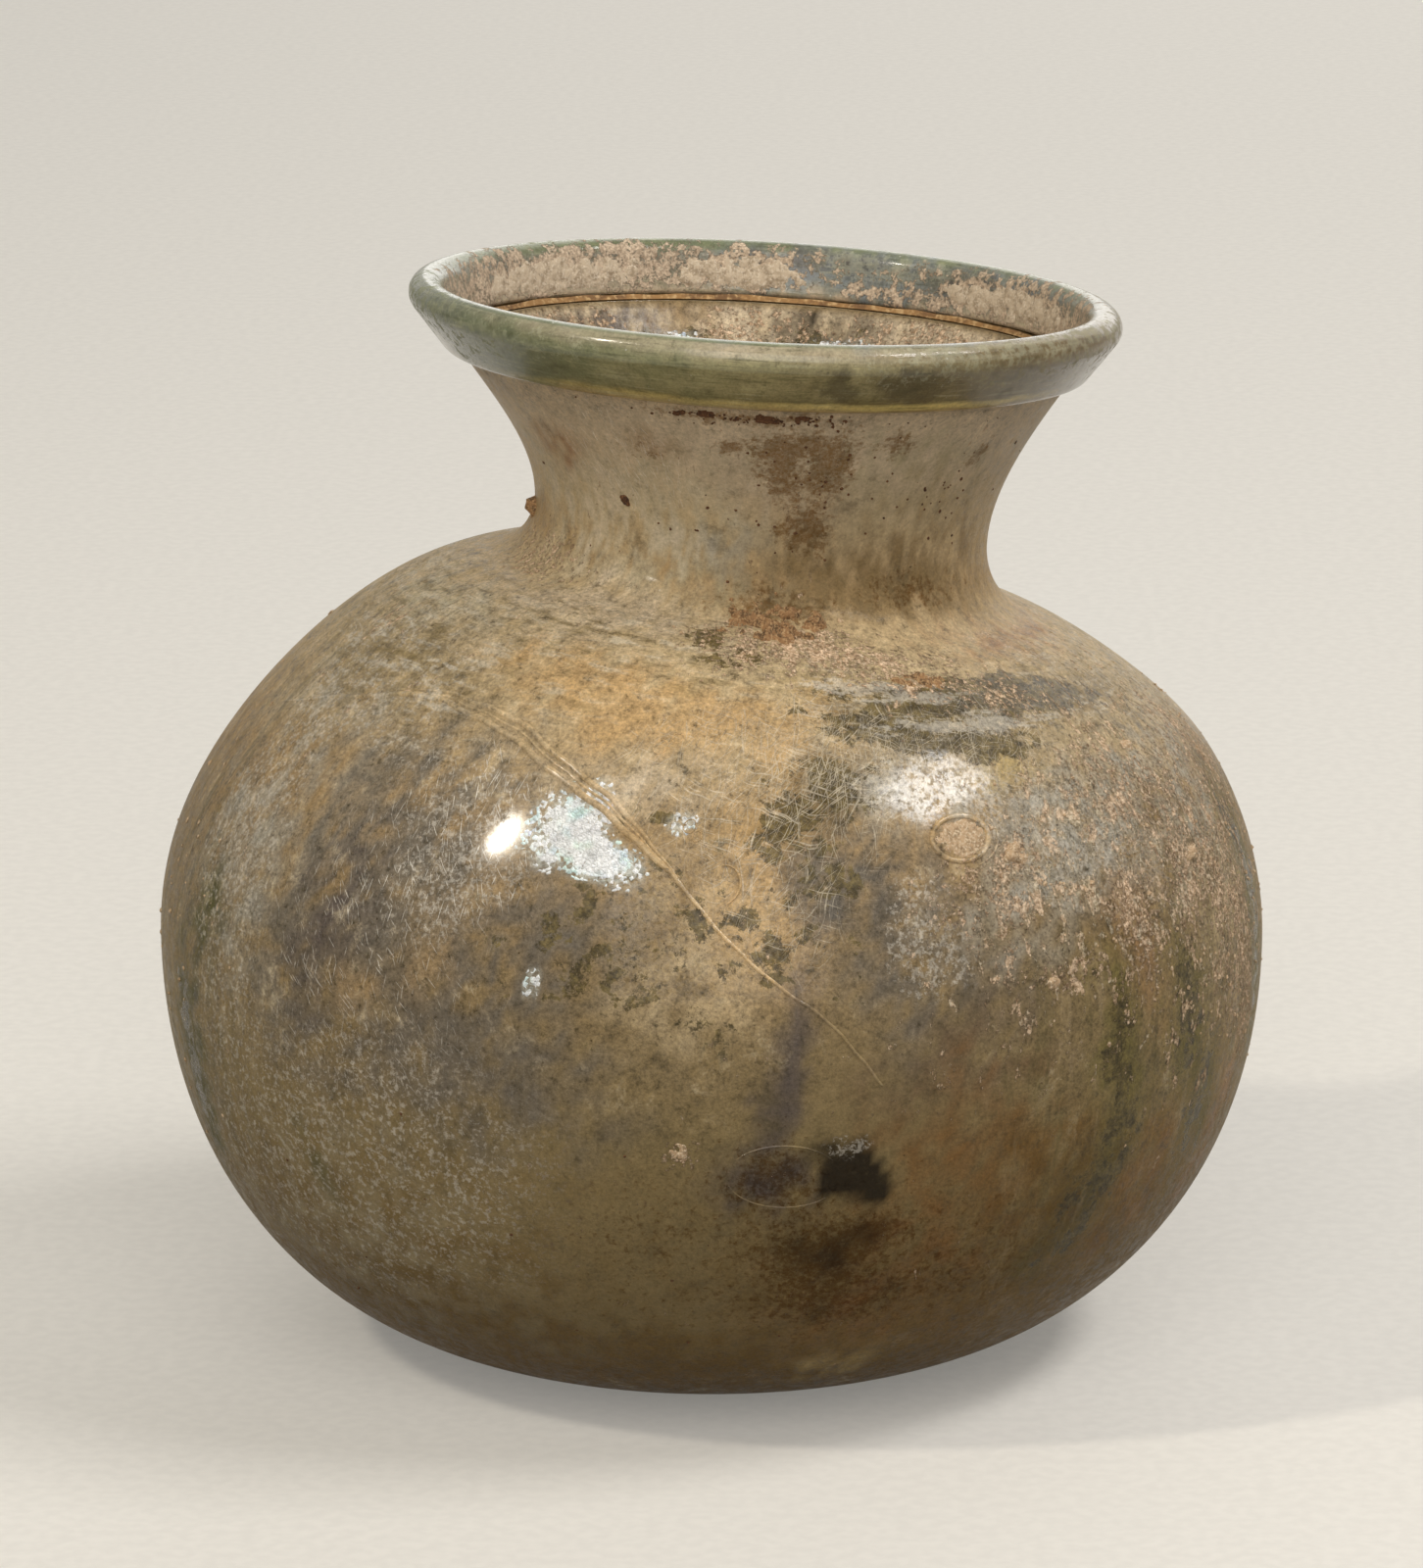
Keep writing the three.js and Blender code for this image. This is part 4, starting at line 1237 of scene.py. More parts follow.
@dataclass
class Vessel:
    """The blown wall, from the kick to under the rim, and the ring that the pontil rod left in the kick."""

    palette: Palette
    form: Form = field(default_factory=Form)
    steps: int = 384

    def __post_init__(self) -> None:
        """Measures the outer and inner outlines."""
        lathe = self.lathe()
        rows, faces, lengths = lathe.rows()
        outer_start = float(lengths[np.argmax(faces == Face.OUTER.value) - 1])
        inner_start = float(lengths[np.argmax(faces == Face.INNER.value) - 1])
        self.skin = SkinLine(self.form.outer(), Face.OUTER, outer_start)
        self.lining = SkinLine(self.form.inner(), Face.INNER, inner_start)

    def lathe(self) -> Lathe:
        """Sets up the wall's section."""
        return Lathe("vessel_wall", self.form.wall(), self.steps)

    def build(self) -> None:
        """Turns, paints and leans the wall, and sets the pontil ring in its kick."""
        canvas = Canvas(self.lathe().turn())
        self.paint_outside(canvas)
        self.paint_inside(canvas)
        canvas.keep()
        stands_for = ["base", "bulb", "shoulder", "neck", "mouth_funnel"]
        finish_piece(canvas.surface.body, self.palette.wall, stands_for)
        self.build_scar()

    def paint_outside(self, canvas: Canvas) -> None:
        """Lays the outside's film colours and marks, first the front's and then the back's."""
        skin = self.skin
        # The film darkens towards the base: partly a thinner film over darker glass, partly painted shade where the
        # lower body turns away from the light.
        stops = [(0, Film.BROWN), (8, Film.UMBER), (24, Film.BRONZE), (37, Film.DUN), (44, Film.TAN), (50, Film.SAND)]
        canvas.ground(skin, [*stops, (54, Film.SAND), (57, Film.TAN), (61, Film.SAND), (66, Film.HAZE), (70, Film.HAZE)])
        for film, patches in FRONT_FILMS:
            canvas.wash(skin, film, patches)
        for film, patches in BACK_FILMS:
            canvas.wash(skin, film, patches)
        for mark, patches in OUTER_MARKS:
            canvas.lay(skin, mark, patches)

    def paint_inside(self, canvas: Canvas) -> None:
        """Lays the colours and marks inside the mouth and the bulb."""
        lining = self.lining
        canvas.ground(lining, [(0, Film.DUN), (50, Film.DUN), (62, Film.TAN), (68, Film.SAND), (71, Film.HAZE)])
        for film, patches in INNER_FILMS:
            canvas.wash(lining, film, patches)
        for mark, patches in INNER_MARKS:
            canvas.lay(lining, mark, patches)

    def film(self, surface: Surface, share: float) -> None:
        """Gives a raised line the film of the glass under it.

        Args:
            surface: the line, with its places on the skin.
            share: how much lighter than the glass it is.
        """
        canvas = Canvas(surface)
        self.paint_outside(canvas)
        for mark in (Mark.PEARL, Mark.FIBRE, Mark.SCRATCH, Mark.STAIN, Mark.BARE, Mark.SPECK):
            canvas.marks[mark] *= 0.15
        canvas.marks[Mark.GLOSS] = np.maximum(canvas.marks[Mark.GLOSS], 0.7)
        canvas.brighten(share)
        canvas.keep(upright=False)

    def build_scar(self) -> None:
        """Makes the torn ring in the kick."""
        radius, height, half_width, half_depth = 5.6, 0.52, 0.5, 0.22
        bpy.ops.mesh.primitive_torus_add(
            major_radius=radius * MM, minor_radius=half_width * MM, major_segments=160, minor_segments=14
        )
        ring = bpy.context.object
        ring.name = "pontil_ring"
        places = read_vertices(ring) / MM
        angle = np.arctan2(places[:, 1], places[:, 0])
        side = np.hypot(places[:, 0], places[:, 1]) - radius
        rise = places[:, 2] / half_width
        wave = 1 + 0.12 * (np.sin(5 * angle) + np.sin(8 * angle + 1)) + 0.08 * np.sin(23 * angle + 2)
        far = radius + side * wave
        torn = np.stack([far * np.cos(angle), far * np.sin(angle), height + rise * half_depth * wave], axis=1)
        write_vertices(ring, torn * MM)
        smooth(ring)
        turn = np.arctan2(torn[:, 0], -torn[:, 1])
        under = np.full(len(torn), Face.UNDER.value)
        canvas = Canvas(Surface(ring, turn, far, torn[:, 2], under, far))
        canvas.brighten(0.8)
        canvas.keep(upright=False)
        finish_piece(ring, self.palette.wall, ["pontil_scar"])


FRONT_FILMS: list[tuple[Film, list[Patch]]] = [
    (Film.SAND, [Patch(-58, 51, 14, 4, 0, 0.7), Patch(-68, 47, 13, 3.2, 0, 0.4), Patch(-49, 55, 8, 3)]),
    (Film.HAZE, [Patch(-62, 52, 12, 3.4, 0, 0.55), Patch(-35, 54, 7, 2.4, 0, 0.9), Patch(-9, 46.5, 5, 2, 0, 0.5)]),
    (Film.PALE, [Patch(-42, 15, 15, 7, 0, 0.2), Patch(-20, 12, 10, 5, 0, 0.1), Patch(-66, 52, 8, 2.4, 0, 0.5)]),
    (Film.MIST, [Patch(-58, 41, 9, 9, 0, 0.4), Patch(-36, 42, 7, 5, 0, 0.25)]),
    (Film.HONEY, [Patch(-6, 49.8, 8, 2.6), Patch(-22, 50.5, 8, 2.0, 0, 0.8), Patch(5, 43, 2.6, 6), Patch(4, 38, 4, 3)]),
    (Film.SAND, [Patch(-2, 36.5, 5, 4.6, 0, 0.45)]),
    (Film.BRONZE, [Patch(-9, 15, 10, 7, 0, 0.8), Patch(-58, 49, 9, 1.8, 0, 0.5)]),
    (Film.GREY, [Patch(-34, 38, 8, 8, 0, 0.8), Patch(-39, 45, 6, 3.4, 0, 0.6), Patch(-17, 38, 4, 4, 0, 0.7)]),
    (Film.GREY, [Patch(-28, 29, 10, 6, 0, 0.7), Patch(-24, 33, 3, 2, 0, 0.6), Patch(-48, 34, 4, 6, 0, 0.5)]),
    (Film.TAN, [Patch(-30, 36, 1.6, 2.2, 0, 0.7), Patch(-38, 33, 2, 1.4, 0, 0.6), Patch(-25, 40, 1.4, 1.8, 0, 0.5)]),
    (Film.VIOLET, [Patch(-43, 37.5, 2.4, 5, 0, 0.6), Patch(7, 30, 1.5, 4.5, -10), Patch(7, 21.5, 3.6, 2, 0, 0.8)]),
    (Film.GREY, [Patch(18, 39, 4.5, 4.5, 0, 0.7), Patch(19, 40.5, 3, 1.6, 0, 0.5), Patch(25, 34, 5, 3, 0, 0.4)]),
    (Film.SLATE, [Patch(17, 39.5, 2.0, 2.6, 0, 0.4), Patch(28, 28, 5, 4, 0, 0.5), Patch(12, 42, 2.4, 3, 0, 0.5)]),
    (Film.MOSS, [Patch(-70, 24, 2, 7), Patch(-45, 19.4, 0.8, 3, 24, 0.5), Patch(-66, 33, 1.8, 5, 0, 0.7)]),
    (Film.MOSS, [Patch(44, 18, 2.4, 6, -24, 0.9), Patch(38, 13, 2.6, 1.6, 0, 0.8)]),
    (Film.STRAW, [Patch(36, 47.3, 2.6, 1.6), Patch(16, 6, 3, 3, 0, 0.6)]),
    (Film.RUSSET, [Patch(28, 22, 6, 6, 0, 0.7), Patch(22, 12, 8, 5, 0, 0.5), Patch(54, 18, 3, 6, 0, 0.7)]),
    (Film.ORANGE, [Patch(-45, 65.5, 3, 1.7, 0, 0.7), Patch(50, 36, 3, 5, 0, 0.5), Patch(66, 54, 9, 2.2, 0, 0.4)]),
    (Film.ORANGE, [Patch(-25, 66.2, 2, 1.2, 0, 0.5), Patch(5, 62.5, 4, 2, 0, 0.4), Patch(68, 22, 4, 9, 0, 0.35)]),
    (Film.SAND, [Patch(66, 37, 7, 10, 0, 0.5)]),
    (Film.UMBER, [Patch(11, 46, 2.8, 3.6, -20, 0.8), Patch(33, 11, 5, 2.6, 0, 0.6), Patch(16, 57.2, 9, 1.7, 0, 0.75)]),
    (Film.UMBER, [Patch(58, 51, 9, 2.6, 0, 0.6), Patch(31, 51, 10, 2, 0, 0.5)]),
    # Painted shade: dark windows where clear glass shows the dim inside, with softer darkening round them.
    (Film.SHADE_SEEN_THROUGH, [Patch(15.2, 21.8, 2.0, 2.4, 8, 1.0, 3.0), Patch(17.2, 20.9, 1.3, 1.8, 0, 1.0, 3.0)]),
    (Film.SHADE_SEEN_THROUGH, [Patch(13.4, 20.9, 1.5, 1.5, 0, 1.0, 3.0), Patch(11.4, 23.8, 1.5, 0.9, 0, 0.8, 2.0)]),
    (Film.SHADE_SEEN_THROUGH, [Patch(9.4, 17, 1.6, 1.3, 0, 0.3), Patch(12.6, 15.2, 1.6, 1.8, 0, 0.35), Patch(16, 17.2, 1.8, 1, 0, 0.35)]),
    (Film.PALE, [Patch(-46, 62, 6, 5, 0, 0.6), Patch(-20, 61, 7, 5, 0, 0.5), Patch(34, 63.5, 7, 4, 0, 0.6)]),
    # The first mist patch lies under the right highlight and is in part a painted highlight.
    (Film.MIST, [Patch(23, 46.4, 4.6, 2.6, 0, 0.5), Patch(43, 42, 5, 4, 0, 0.7), Patch(50, 45, 5, 3, 0, 0.5)]),
    (Film.MIST, [Patch(34, 38, 4, 3, 0, 0.4), Patch(66, 44, 5, 6, 0, 0.5), Patch(-12, 59.4, 3, 1.6, 0, 0.4)]),
    (Film.OLIVE, [Patch(56, 30, 2.4, 5.5), Patch(45, 27, 2.2, 7), Patch(78, 34, 2, 9), Patch(62, 23, 2.4, 6, 0, 0.7)]),
    (Film.TAN, [Patch(46, 60.5, 8, 4, 0, 0.3), Patch(-80, 58, 3, 1.4)]),
    (Film.HAZE, [Patch(-42, 61, 5, 4, 0, 0.5), Patch(-40, 66.4, 4, 2, 0, 0.5), Patch(2, 63.6, 5, 1.8, 0, 0.4)]),
    (Film.DUN, [Patch(32, 57.8, 8, 2, 0, 0.75), Patch(48, 59, 5, 2, 0, 0.5), Patch(16, 58.4, 5, 1.6, 0, 0.5)]),
    (Film.UMBER, [Patch(32, 57.6, 6, 1.4, 0, 0.2), Patch(15, 58.6, 3, 0.9, 0, 0.15)]),
    (Film.BROWN, [Patch(42, 17.6, 4.4, 4.4, 0, 0.6), Patch(34, 20, 3, 4, 0, 0.3)]),
    (Film.ORANGE, [Patch(-54, 64.9, 2.2, 1.6, 0, 0.5)]),
]

BACK_FILMS: list[tuple[Film, list[Patch]]] = [
    (Film.HONEY, [Patch(128, 46, 12, 5), Patch(-150, 49, 13, 4), Patch(170, 33, 5, 9, 0, 0.8)]),
    (Film.SAND, [Patch(105, 52, 12, 3), Patch(-112, 44, 7, 9), Patch(-170, 55, 9, 2)]),
    (Film.GREY, [Patch(150, 36, 9, 10, 0, 0.9), Patch(-132, 34, 8, 9), Patch(-96, 27, 5, 8, 0, 0.7)]),
    (Film.VIOLET, [Patch(146, 39, 4, 5, 0, 0.8), Patch(-128, 37, 3, 6, 0, 0.8)]),
    (Film.MOSS, [Patch(96, 28, 2.4, 10), Patch(-100, 34, 2, 9), Patch(118, 20, 3, 6), Patch(-160, 21, 4, 6)]),
    (Film.UMBER, [Patch(176, 20, 6, 5), Patch(-140, 14, 7, 4), Patch(112, 12, 6, 4)]),
    (Film.ORANGE, [Patch(140, 20, 6, 6, 0, 0.7), Patch(-115, 20, 5, 5, 0, 0.6), Patch(160, 64, 6, 3, 0, 0.6)]),
    # Painted shade: a dark window on the back where clear glass shows the dim inside.
    (Film.SHADE_SEEN_THROUGH, [Patch(-168, 27, 2.4, 2.2)]),
]

OUTER_MARKS: list[tuple[Mark, list[Patch]]] = [
    (Mark.BARE, [Patch(20, 50.4, 4.8, 1.4), Patch(37, 51.8, 7.4, 1.4), Patch(32, 49, 5, 1.3), Patch(58, 51.6, 6, 1.8, 0, 0.6)]),
    (Mark.BARE, [Patch(11, 46, 3.0, 3.4, -20, 0.95), Patch(33, 51, 9, 1.8, 0, 0.6)]),
    (Mark.BARE, [Patch(-70, 24, 1.4, 6, 0, 0.7), Patch(56, 30, 1.8, 4.6, 0, 0.7), Patch(78, 34, 1.6, 8, 0, 0.8)]),
    (Mark.BARE, [Patch(6.3, 37.6, 0.8, 0.8), Patch(5.8, 35.5, 0.7, 0.6), Patch(-7.3, 44.7, 0.8, 0.6, 0, 0.9)]),
    (Mark.BARE, [Patch(-10, 38, 7, 6, 0, 0.42), Patch(12, 40, 4, 5, 0, 0.42), Patch(-6, 53.3, 2.2, 2, 0, 0.7)]),
    (Mark.BARE, [Patch(45, 27, 1.8, 6, 0, 0.6), Patch(62, 23, 1.9, 5, 0, 0.6), Patch(44, 17, 2.2, 5, -24, 0.6)]),
    (Mark.BARE, [Patch(150, 48, 8, 3, 0, 0.9), Patch(-158, 36, 3, 7, 0, 0.7), Patch(100, 34, 2, 9, 0, 0.8)]),
    (Mark.BARE, [Patch(-104, 31, 2, 8, 0, 0.8), Patch(124, 26, 4, 5, 0, 0.6), Patch(-120, 52, 6, 2, 0, 0.8)]),
    (Mark.FROST, [Patch(24.5, 51.8, 4.6, 0.6, 0, 0.95), Patch(35, 50.3, 6.4, 0.8, 2), Patch(16.5, 52.1, 4.6, 0.7, 0, 0.9)]),
    # Frost round the blister, widened and whitened in part as a painted highlight under the right lamp.
    (Mark.FROST, [Patch(21.6, 46.6, 3.4, 1.5, -6, 0.9), Patch(28.6, 46.4, 3, 1.0, -14, 0.8), Patch(32.3, 44.6, 0.9, 1.8, 14, 0.8)]),
    (Mark.FROST, [Patch(44, 42.5, 5, 3.6, 0, 0.6), Patch(23, 37.6, 2.4, 3, 0, 0.42), Patch(-44, 20, 16, 10, 0, 0.2)]),
    (Mark.FROST, [Patch(-62, 40, 4, 9, 0, 0.34), Patch(-30, 42, 5, 4.5, 0, 0.3), Patch(14, 24, 1.2, 0.5, 0, 0.6)]),
    (Mark.FROST, [Patch(60, 42, 6, 5, 0, 0.4), Patch(72, 36, 4, 9, 0, 0.4), Patch(-58, 48, 9, 3, 0, 0.35)]),
    (Mark.FROST, [Patch(140, 42, 6, 4, 0, 0.6), Patch(-125, 44, 6, 5, 0, 0.5), Patch(175, 40, 5, 6, 0, 0.4)]),
    (Mark.PEACH, [Patch(6, 53.6, 5, 2.4, 0, 0.7), Patch(27.5, 52.4, 3, 0.8, 0, 0.7), Patch(-62, 55.6, 5, 1.6, 0, 0.45)]),
    (Mark.PEACH, [Patch(20, 53.4, 5, 1.2, 0, 0.5), Patch(34, 42.4, 1.2, 1.2, 0, 0.7), Patch(30, 40, 3, 3, 0, 0.42)]),
    (Mark.PEACH, [Patch(60, 39.5, 3, 4.4, 0, 0.6), Patch(66, 36, 2, 7, 0, 0.6), Patch(72, 31, 1.8, 7, 0, 0.6)]),
    (Mark.PEACH, [Patch(50, 36.7, 1.8, 3, 0, 0.6), Patch(37, 33.7, 3.4, 1, 0, 0.5), Patch(55, 45, 4, 3, 0, 0.45)]),
    (Mark.PEACH, [Patch(-3.4, 23.8, 1, 0.7, 0, 0.8), Patch(42, 51.5, 4, 1.5, 0, 0.5), Patch(80, 45, 6, 7, 0, 0.5)]),
    (Mark.PEACH, [Patch(118, 38, 4, 8, 0, 0.55), Patch(-165, 53, 8, 2, 0, 0.7), Patch(-108, 40, 3, 8, 0, 0.5)]),
    (Mark.STAIN, [Patch(1.5, 65.9, 1.9, 2.4, 0, 0.85), Patch(8, 67.2, 1.6, 1.0, 0, 0.7), Patch(16, 66, 1.7, 2.6, 0, 0.9)]),
    (Mark.STAIN, [Patch(9, 60.8, 2, 1.5, 0, 0.85), Patch(-8, 67, 0.8, 0.6, 0, 0.9), Patch(9, 63.8, 2.2, 1.4, 0, 0.6)]),
    (Mark.STAIN, [Patch(29, 67.2, 1.4, 1.1, 0, 0.7), Patch(0, 17, 14, 9, 0, 0.3), Patch(28, 14, 8, 5, 0, 0.34)]),
    (Mark.STAIN, [Patch(-3, 69.2, 6.5, 0.6, 0, 0.7), Patch(51, 66.4, 1, 1.3, 0, 0.7), Patch(-26, 66, 2, 1.4, 0, 0.34)]),
    (Mark.STAIN, [Patch(11, 16.2, 3.6, 2.2, 0, 0.7), Patch(17, 17.2, 2.2, 1.2, 0, 0.75), Patch(13, 12.2, 5, 2.2, 0, 0.5)]),
    (Mark.STAIN, [Patch(7.3, 21.5, 3, 1.7, 0, 0.6), Patch(40, 57, 5, 1.3, 0, 0.5), Patch(3, 55.5, 4, 1.5, 0, 0.6)]),
    (Mark.STAIN, [Patch(170, 65, 5, 3, 0, 0.7), Patch(-145, 15, 5, 3, 0, 0.7), Patch(-130, 66, 3, 2, 0, 0.7)]),
    # Pearly flakes beside the left highlight; their pale brightness is in part painted sheen.
    (Mark.PEARL, [Patch(-18, 43.9, 2.5, 2.3), Patch(-12.5, 42.3, 2.4, 1.1, -22), Patch(-5, 44.4, 0.9, 0.8, 0, 0.6)]),
    (Mark.PEARL, [Patch(-18, 34.6, 0.6, 1, 0, 0.65), Patch(158, 43, 4, 3, 0, 0.9)]),
    (Mark.FIBRE, [Patch(11, 47, 5, 5), Patch(28, 49.4, 8, 3, 0, 0.6), Patch(-2, 47, 8, 5, 0, 0.5), Patch(42, 44, 7, 5, 0, 0.6)]),
    (Mark.FIBRE, [Patch(8, 40, 5, 4, 0, 0.4), Patch(150, 46, 12, 8), Patch(-140, 40, 12, 9, 0, 0.6)]),
    (Mark.SCRATCH, [Patch(-30, 43, 7, 5, 0, 0.8), Patch(-40, 36, 10, 8, 0, 0.5), Patch(-31, 24, 12, 9, 0, 0.25)]),
    (Mark.SCRATCH, [Patch(-34, 66, 4.5, 4.6), Patch(-125, 38, 8, 8, 0, 0.7), Patch(130, 30, 9, 9, 0, 0.5)]),
    (Mark.CALM, [Patch(0, 63, 22, 6), Patch(-55, 63, 18, 6), Patch(55, 63, 18, 6), Patch(-16, 14, 26, 11)]),
    (Mark.CALM, [Patch(20, 26, 9, 6, 0, 0.8), Patch(-50, 18, 20, 9, 0, 0.7), Patch(180, 14, 80, 11)]),
    (Mark.CALM, [Patch(120, 63, 24, 6), Patch(-120, 63, 24, 6), Patch(180, 63, 24, 6)]),
    (Mark.STREAK, [Patch(66, 36, 14, 20), Patch(-74, 32, 11, 22, 0, 0.9), Patch(40, 24, 9, 14, 0, 0.7)]),
    (Mark.STREAK, [Patch(105, 34, 18, 22, 0, 0.8), Patch(-110, 34, 18, 22, 0, 0.8), Patch(175, 30, 30, 18, 0, 0.5)]),
    (Mark.SMEAR, [Patch(-58, 51, 16, 6, 0, 0.9), Patch(-28, 53, 12, 3, 0, 0.8), Patch(30, 51, 12, 3, 0, 0.9)]),
    (Mark.SMEAR, [Patch(60, 52, 10, 4, 0, 0.8), Patch(150, 52, 28, 5, 0, 0.8), Patch(-120, 52, 20, 5, 0, 0.8)]),
    (Mark.GLOSS, [Patch(25, 46.4, 8, 3.2, 0, 0.85), Patch(-24.5, 43, 7, 5), Patch(-17, 43.6, 5, 3.5), Patch(-18, 54.3, 3.4, 1.7)]),
    (Mark.GLOSS, [Patch(8, 50, 12, 3.4, 0, 0.5), Patch(0, 38, 14, 9, 0, 0.3), Patch(35, 51, 10, 2.4, 0, 0.5)]),
    (Mark.GLOSS, [Patch(150, 46, 12, 5, 0, 0.8), Patch(-130, 44, 12, 6, 0, 0.6), Patch(90, 46, 8, 5, 0, 0.5)]),
    (Mark.SPECK, [Patch(68, 38, 14, 16, 0, 0.7), Patch(42, 42, 10, 9, 0, 0.7), Patch(110, 36, 14, 14, 0, 0.55)]),
    (Mark.SPECK, [Patch(8, 53.4, 8, 3, 0, 0.6), Patch(30, 32, 8, 6, 0, 0.4), Patch(-62, 50, 12, 5, 0, 0.35)]),
    (Mark.SPECK, [Patch(60, 52, 14, 4, 0, 0.4), Patch(-70, 34, 8, 14, 0, 0.15), Patch(-150, 34, 20, 14, 0, 0.2)]),
]

INNER_FILMS: list[tuple[Film, list[Patch]]] = [
    (Film.VIOLET, [Patch(206, 67.8, 6, 3.2), Patch(206, 67.8, 5, 2.6), Patch(222, 68.5, 4, 1.5, 0, 0.7)]),
    (Film.TAN, [Patch(194, 68.6, 2.6, 2.4, 0, 0.9)]),
    # Painted shade: dark windows in the funnel where its clear glass shows the dim beyond.
    (Film.SHADE_SEEN_THROUGH, [Patch(164, 67.5, 5.4, 3.2), Patch(100, 66, 8, 3, 0, 0.4)]),
    (Film.HAZE, [Patch(185, 68, 3, 2.4), Patch(132, 69, 7, 2)]),
]

INNER_MARKS: list[tuple[Mark, list[Patch]]] = [
    (Mark.BARE, [Patch(202, 67.5, 4.2, 1.8, 0, 0.8), Patch(165, 67.5, 4, 2.2, 0, 0.8), Patch(130, 66, 5, 2, 0, 0.5)]),
    (Mark.PEARL, [Patch(199, 68.3, 1.6, 0.7, 0, 0.7), Patch(162, 67.6, 3, 1.3, 0, 0.9)]),
    (Mark.GLOSS, [Patch(165, 67.5, 6, 3, 0, 0.8), Patch(202, 67.5, 5, 3, 0, 0.4)]),
    (Mark.PEACH, [Patch(236, 68, 7, 3, 0, 0.7), Patch(184, 68.5, 4, 2, 0, 0.45), Patch(125, 68.5, 12, 2.4, 0, 0.7)]),
    (Mark.FROST, [Patch(150, 66, 6, 3, 0, 0.4), Patch(40, 64, 10, 4, 0, 0.4), Patch(-60, 64, 10, 4, 0, 0.4)]),
]


@dataclass
class Rim:
    """The folded rim."""

    vessel: Vessel
    palette: Palette
    form: RimForm = field(default_factory=RimForm)
    steps: int = 384

    def build(self) -> None:
        """Turns, paints and leans the rim."""
        stretches = self.form.section(self.vessel.form)
        lathe = Lathe("rim_collar", stretches, self.steps)
        canvas = Canvas(lathe.turn())
        band = [s for s in stretches[1:3]]
        start = float(lathe.rows()[2][stretches[0].rows])
        outside = SkinLine(band, Face.RIM, start)
        crown = start + sum(arc_length(s) for s in stretches[1:3])
        inside = SkinLine(stretches[3:5], Face.RIM, crown, facing=1)
        lip_start = crown + sum(arc_length(s) for s in stretches[3:5])
        # The rim goes straw at the ledge, olive below the middle and pale at the crown; the straw at the ledge is in
        # part a painted highlight along its bead.
        canvas.ground(SkinLine(stretches[:1], Face.RIM), [(70, Film.STRAW), (72, Film.STRAW)])
        lower = [(70.3, Film.STRAW), (70.7, Film.OLIVE), (71.6, Film.CELADON)]
        canvas.ground(outside, [*lower, (73.4, Film.CELADON), (74.4, Film.HAZE), (74.9, Film.PALE)])
        canvas.ground(inside, [(70, Film.SAND), (73.9, Film.MIST), (74.6, Film.SEA), (76, Film.SEA)])
        canvas.ground(SkinLine(stretches[5:7], Face.RIM, lip_start), [(70, Film.HAZE), (72, Film.HAZE)])
        for film, patches in RIM_FILMS:
            canvas.wash(outside, film, patches, 0.8)
        for film, patches in RIM_INNER_FILMS:
            canvas.wash(inside, film, patches)
        for mark, patches in RIM_MARKS:
            canvas.lay(outside, mark, patches)
        for mark, patches in RIM_INNER_MARKS:
            canvas.lay(inside, mark, patches)
        canvas.keep()
        finish_piece(canvas.surface.body, self.palette.rim, ["folded_rim"])


def arc_length(stretch: Stretch) -> float:
    """Gives a stretch's length in millimetres, along its rows."""
    return float(np.hypot(*np.diff(stretch.points(stretch.rows), axis=0).T).sum())


RIM_FILMS: list[tuple[Film, list[Patch]]] = [
    (Film.SEA, [Patch(-52, 72.5, 14, 3), Patch(-84, 72.5, 8, 3, 0, 0.8), Patch(-20, 73.5, 8, 1.2, 0, 0.4)]),
    (Film.FERN, [Patch(-66, 72.8, 9, 3.4, 0, 0.8), Patch(-88, 73, 8, 4, 0, 0.9), Patch(-44, 71.4, 8, 1, 0, 0.6)]),
    (Film.SEA, [Patch(150, 72, 14, 3, 0, 0.7), Patch(-150, 73, 14, 2, 0, 0.7), Patch(180, 73, 60, 3, 0, 0.4)]),
    (Film.OLIVE, [Patch(52, 72.5, 12, 3.4, 0, 0.9), Patch(80, 73, 10, 4, 0, 0.95), Patch(66, 74.6, 14, 1, 0, 0.6)]),
    (Film.UMBER, [Patch(58, 72.6, 14, 3.4, 0, 0.8), Patch(84, 73, 8, 3, 0, 0.5)]),
    # Painted highlight: a bright gold line along the ledge's rounded bead, front and back.
    (Film.GOLD_HIGHLIGHT, [Patch(26, 70.5, 11, 0.3, 0, 1.0, 1.5), Patch(-20, 70.5, 9, 0.25, 0, 0.5), Patch(-150, 70.5, 20, 0.3)]),
    # Painted highlights on the roll: a soft pale streak on the left and two thin pale lines on the right.
    (Film.PALE, [Patch(-24, 74.3, 6, 0.5, 0, 0.8), Patch(25, 74.6, 12, 0.22, 0, 0.9), Patch(24, 74.0, 10, 0.16, 0, 0.8)]),
    (Film.OLIVE, [Patch(12, 72, 10, 1.5, 0, 0.4), Patch(45, 71.6, 8, 1, 0, 0.4), Patch(-160, 72, 12, 2, 0, 0.5)]),
]

RIM_INNER_FILMS: list[tuple[Film, list[Patch]]] = [
    (Film.SEA, [Patch(166, 73, 9, 2, 0, 0.7), Patch(135, 74.5, 16, 0.8, 0, 0.6), Patch(205, 74.6, 16, 0.6, 0, 0.6)]),
    (Film.STEEL, [Patch(164, 73, 8, 1.8), Patch(128, 74, 8, 0.7, 0, 0.8), Patch(20, 73, 20, 2, 0, 0.5)]),
    (Film.SLATE, [Patch(170, 73.8, 4, 0.8, 0, 0.8), Patch(140, 73.6, 3, 0.8, 0, 0.8)]),
]

